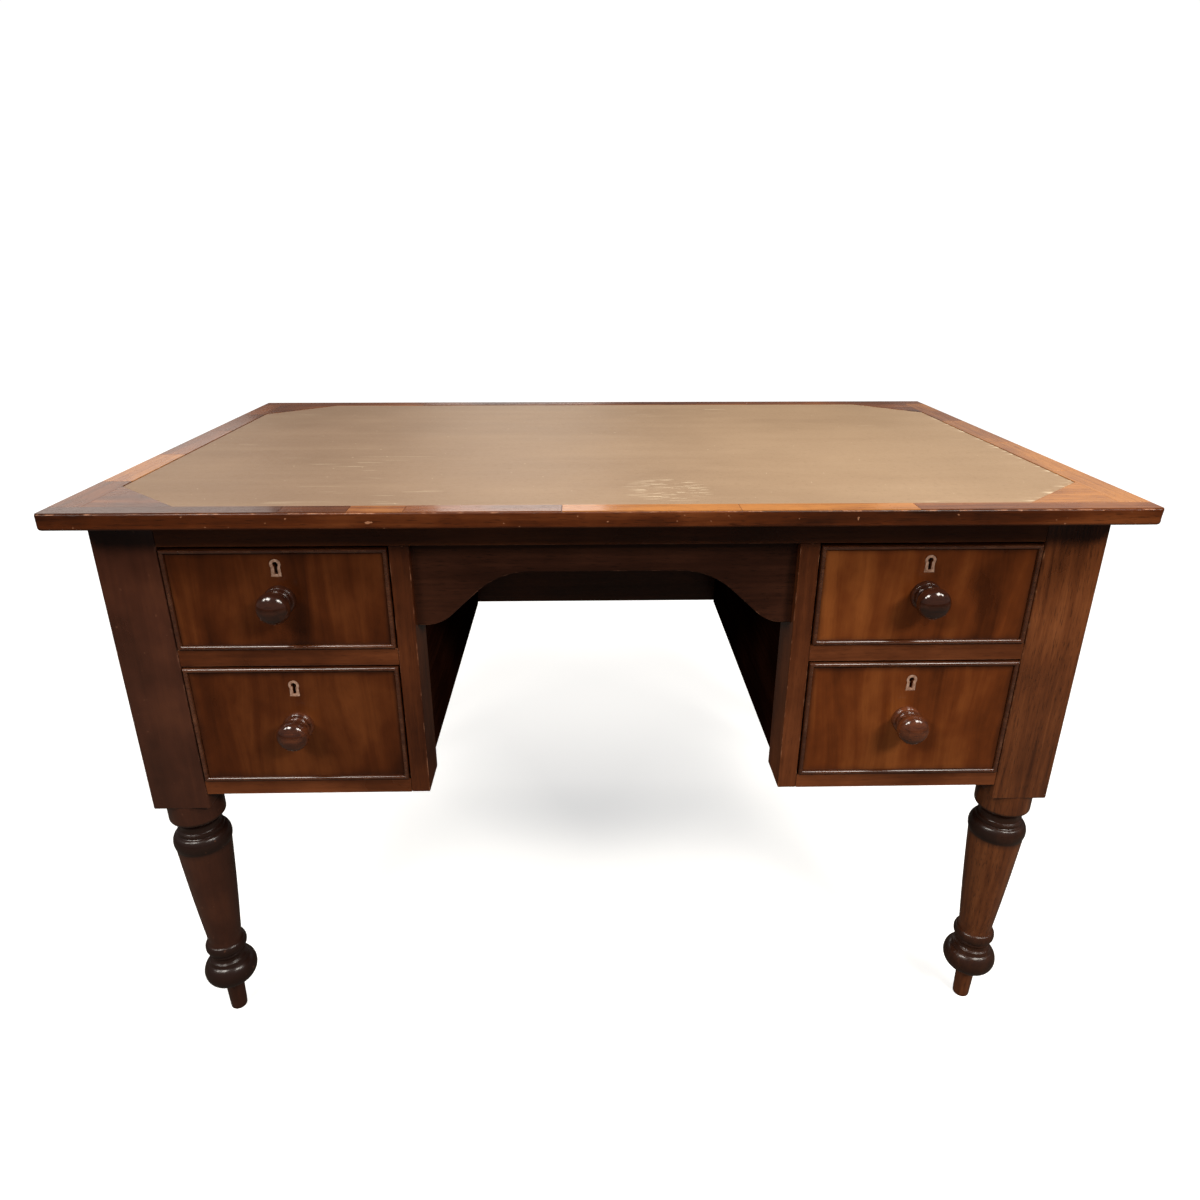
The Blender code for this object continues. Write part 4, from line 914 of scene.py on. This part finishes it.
def make_front(name, hand, materials):
    """The drawer front with its veneered face; place tells the painted rim shade how near the rim is."""
    piece = dressed(f"{name}_front", 0.0005)
    low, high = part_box(f"{name}_front")
    middle, half = (low + high) / 2, (high - low) / 2
    points = corners_of(piece.data)
    place = (points - np.array(middle)) / np.array(half)
    at_left, at_right = FRONT_TONES[name]
    give_grain(piece, "Z", at_left + (at_right - at_left) * (place[:, 0] + 1) / 2)
    store(piece.data, "place", place, kind="FLOAT_VECTOR")
    fit(piece, materials["front_" + hand], "front_wood", f"{name}_drawer", f"{name}_front")


def make_key_plate(name, materials):
    plate = dressed(f"{name}_escutcheon", 0.0003, "_inlay")
    fit(plate, materials["plate"], "escutcheon", f"{name}_drawer", f"{name}_escutcheon")


def socket_named(tree, name):
    """The identifier of one of a node group's inputs."""
    for item in tree.interface.items_tree:
        if item.item_type == "SOCKET" and item.in_out == "INPUT" and item.name == name:
            return item.identifier
    raise KeyError(name)


def fastener_tree(material):
    """Slotted screw heads on a grid of places: named sizes in, one plain mesh out."""
    tree = bpy.data.node_groups.new("slotted_screws", "GeometryNodeTree")
    sizes = {"Spread X": 0.030, "Spread Z": 0.026, "Head radius": 0.0022, "Head height": 0.0008,
             "Slot width": 0.0006, "Turn": 0.6}
    for name, value in sizes.items():
        made = tree.interface.new_socket(name, in_out="INPUT", socket_type="NodeSocketFloat")
        made.default_value = value
    for name in ("Columns", "Rows"):
        made = tree.interface.new_socket(name, in_out="INPUT", socket_type="NodeSocketInt")
        made.default_value = 2
    tree.interface.new_socket("Geometry", in_out="OUTPUT", socket_type="NodeSocketGeometry")
    given = node(tree, "NodeGroupInput").outputs
    grid = node(tree, "GeometryNodeMeshGrid",
                {"Size X": given["Spread X"], "Size Y": given["Spread Z"],
                 "Vertices X": given["Columns"], "Vertices Y": given["Rows"]})
    head = node(tree, "GeometryNodeMeshCylinder",
                {"Vertices": 20, "Radius": given["Head radius"], "Depth": given["Head height"]})
    length = maths(tree, "MULTIPLY", given["Head radius"], 3.0)
    slot_size = node(tree, "ShaderNodeCombineXYZ",
                     {0: length, 1: given["Slot width"], 2: given["Head height"]})
    slot = node(tree, "GeometryNodeMeshCube", {"Size": slot_size.outputs[0]})
    lift = node(tree, "ShaderNodeCombineXYZ", {2: maths(tree, "MULTIPLY", given["Head height"], 0.75)})
    raised = node(tree, "GeometryNodeTransform",
                  {"Geometry": slot.outputs[0], "Translation": lift.outputs[0]})
    cut = node(tree, "GeometryNodeMeshBoolean", operation="DIFFERENCE", solver="EXACT")
    tree.links.new(head.outputs[0], cut.inputs[0])
    tree.links.new(raised.outputs[0], cut.inputs[1])
    chance = node(tree, "FunctionNodeRandomValue", {"Max": 3.1, "Seed": 5}, data_type="FLOAT")
    angle = maths(tree, "MULTIPLY", chance.outputs[1], given["Turn"])
    spin = node(tree, "ShaderNodeCombineXYZ", {2: angle})
    euler = node(tree, "FunctionNodeEulerToRotation", {0: spin.outputs[0]})
    spread = node(tree, "GeometryNodeInstanceOnPoints",
                  {"Points": grid.outputs[0], "Instance": cut.outputs[0], "Rotation": euler.outputs[0]})
    real = node(tree, "GeometryNodeRealizeInstances", {0: spread.outputs[0]})
    finish = node(tree, "GeometryNodeSetMaterial", {"Geometry": real.outputs[0], "Material": material})
    result = node(tree, "NodeGroupOutput")
    tree.links.new(finish.outputs[0], result.inputs[0])
    return tree


def fasteners(name, tree, place, body, sizes):
    """A set of screw heads as one plain mesh; sizes are given by the names of the tree's inputs."""
    holder = bpy.data.objects.new(name + "_layout", bpy.data.meshes.new(name + "_layout"))
    bpy.context.scene.collection.objects.link(holder)
    layout = holder.modifiers.new("layout", "NODES")
    layout.node_group = tree
    for key, value in sizes.items():
        layout[socket_named(tree, key)] = value
    made = baked(holder, name)
    made.data.transform(place)
    fit(made, made.data.materials[0], "lock_steel", body)


def make_lock(name, materials, screws):
    body = f"{name}_drawer"
    case = dressed(f"{name}_lock_case", 0.0004, "_brass")
    fit(case, materials["brass"], "lock_brass", body, f"{name}_lock_case")
    bolt = dressed(f"{name}_lock_bolt", 0.0004, "_steel")
    fit(bolt, materials["steel"], "lock_steel", f"{name}_bolt", f"{name}_lock_bolt")
    low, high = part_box(f"{name}_lock_case")
    middle = (low + high) / 2
    back = Matrix.Translation((middle.x, high.y + 0.0001, middle.z))
    back = back @ Matrix.Rotation(radians(-90), 4, "X")
    fasteners(f"{name}_lock_screws", screws, back, body, {"Spread X": 0.032, "Spread Z": 0.024})


def make_drawer(name, materials, screws):
    hand = name.split("_")[1]
    body = f"{name}_drawer"
    make_front(name, hand, materials)
    make_bead(name, materials)
    make_knob(name, materials)
    make_key_plate(name, materials)
    make_lock(name, materials, screws)
    lining = materials["lining"]
    for part in ("side_left", "side_right"):
        board(f"{name}_{part}", lining, "lining_wood", body, "Y", 0.0005)
    board(f"{name}_back", lining, "lining_wood", body, "X", 0.0005)
    board(f"{name}_bottom", lining, "lining_wood", body, "X", 0.0004, tone=0.6)
    low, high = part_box(f"{name}_bottom")
    middle_x = (low.x + high.x) / 2
    under = Matrix.Translation((middle_x, high.y - 0.0045, low.z - 0.0003)) @ Matrix.Rotation(pi, 4, "X")
    fasteners(f"{name}_bottom_screws", screws, under, body,
              {"Spread X": 0.18, "Spread Z": 0.0, "Rows": 1, "Columns": 3, "Head radius": 0.0025})


# ======== stage ========

def make_camera():
    """At a standing person's height, a little left of the middle, looking down at the front."""
    camera = bpy.data.objects.new("camera", bpy.data.cameras.new("camera"))
    camera.data.sensor_width = 36.0
    camera.data.lens = 25.21
    yaw, pitch, roll = radians(1.266), radians(22.27), radians(0.059)
    turn = (Matrix.Rotation(-yaw, 4, "Z") @ Matrix.Rotation(radians(90) - pitch, 4, "X")
            @ Matrix.Rotation(roll, 4, "Z"))
    camera.matrix_world = Matrix.Translation((-0.0256, -1.1838, 1.0049)) @ turn
    bpy.context.scene.collection.objects.link(camera)
    bpy.context.scene.camera = camera


LAMP_COLOUR = (1.0, 0.95, 0.88)
CEILING_DEEP = 0.65
CEILING_POWER = 40


def area_light(name, place, aim, size, power, mirrored=True):
    """A soft light; mirrored says whether polished wood shows its reflection."""
    lamp = bpy.data.lights.new(name, "AREA")
    lamp.shape = "RECTANGLE"
    lamp.size, lamp.size_y = size
    lamp.energy = power
    lamp.color = LAMP_COLOUR
    holder = bpy.data.objects.new(name, lamp)
    holder.location = place
    holder.rotation_euler = (Vector(aim) - Vector(place)).to_track_quat("-Z", "Y").to_euler()
    holder.visible_camera = False
    holder.visible_glossy = mirrored
    bpy.context.scene.collection.objects.link(holder)


def make_lights():
    target = (0, -0.1, 0.5)
    area_light("key_left", (-1.6, -2.3, 2.3), target, (0.8, 0.5), 34, mirrored=False)
    area_light("key_right", (1.7, -2.2, 2.3), target, (0.8, 0.5), 56, mirrored=False)
    area_light("overhead", (0.1, 0.3, 2.7), (0, 0, 0.76), (2.2, 1.4), 26)
    area_light("behind_left", (-2.8, 3.2, 1.9), (0, 0, 1.0), (2.2, 0.9), 5.5)
    area_light("behind_middle", (-0.35, 3.2, 1.8), (0, 0, 1.0), (0.9, 0.9), 4)
    area_light("behind_right", (2.3, 3.2, 1.8), (0, 0, 1.0), (1.4, 0.9), 1.4)
    for x, width in ((-2.3, 0.45), (-1.2, 0.80), (1.2, 0.80), (2.3, 0.45)):
        area_light("ceiling", (x, -1.25, 2.6), (x * 0.4, -0.3, 0.6), (width, CEILING_DEEP),
                   CEILING_POWER * width * CEILING_DEEP)


def make_world():
    world = bpy.data.worlds.new("studio")
    world.use_nodes = True
    tree = world.node_tree
    backdrop = tree.nodes["Background"]
    backdrop.inputs[0].default_value = (1.0, 0.98, 0.96, 1.0)
    seen = node(tree, "ShaderNodeLightPath").outputs["Is Camera Ray"]
    tree.links.new(mapped(tree, seen, 0.0, 1.0, 0.09, 1.05), backdrop.inputs[1])
    bpy.context.scene.world = world


def make_floor():
    shape = bmesh.new()
    bmesh.ops.create_grid(shape, x_segments=4, y_segments=4, size=15.0)
    floor = piece_from(shape, "studio_floor")
    material, tree, shader = blank_material("pale_floor")
    place = node(tree, "ShaderNodeTexCoord").outputs["Object"]
    mottle = cloud(tree, place, (1.5, 1.5, 1.5), 3.0).outputs[0]
    pale = tinted(tree, mottle, (0.80, 0.80, 0.79, 1.0), (0.84, 0.84, 0.83, 1.0))
    # Painted light: to the camera the floor is pale and glows, more strongly further from the desk, so it
    # reads as white; light bounced off it is dark.
    seen = node(tree, "ShaderNodeLightPath").outputs["Is Camera Ray"]
    tree.links.new(tinted(tree, seen, (0.07, 0.060, 0.052, 1.0), pale), shader.inputs["Base Color"])
    shader.inputs["Emission Color"].default_value = (1.0, 1.0, 1.0, 1.0)
    reach = node(tree, "ShaderNodeVectorMath", {0: place}, operation="LENGTH").outputs["Value"]
    glow = mapped(tree, reach, 0.9, 4.0, 0.62, 0.98)
    tree.links.new(maths(tree, "MULTIPLY", seen, glow), shader.inputs["Emission Strength"])
    shader.inputs["Roughness"].default_value = 0.8
    shader.inputs["Specular IOR Level"].default_value = 0.1
    floor.data.materials.append(material)


def main():
    make_camera()
    make_lights()
    make_world()
    make_floor()
    materials = make_materials()
    screws = fastener_tree(materials["steel"])
    for row in ("front", "back"):
        for hand in HANDS:
            make_leg(row, hand, materials)
    make_plate(materials)
    make_banding(materials)
    make_leather(materials)
    make_carcase(materials)
    for name in DRAWERS:
        make_drawer(name, materials, screws)
    bpy.context.scene.view_settings.view_transform = "Standard"


main()
bpy.context.view_layer.update()
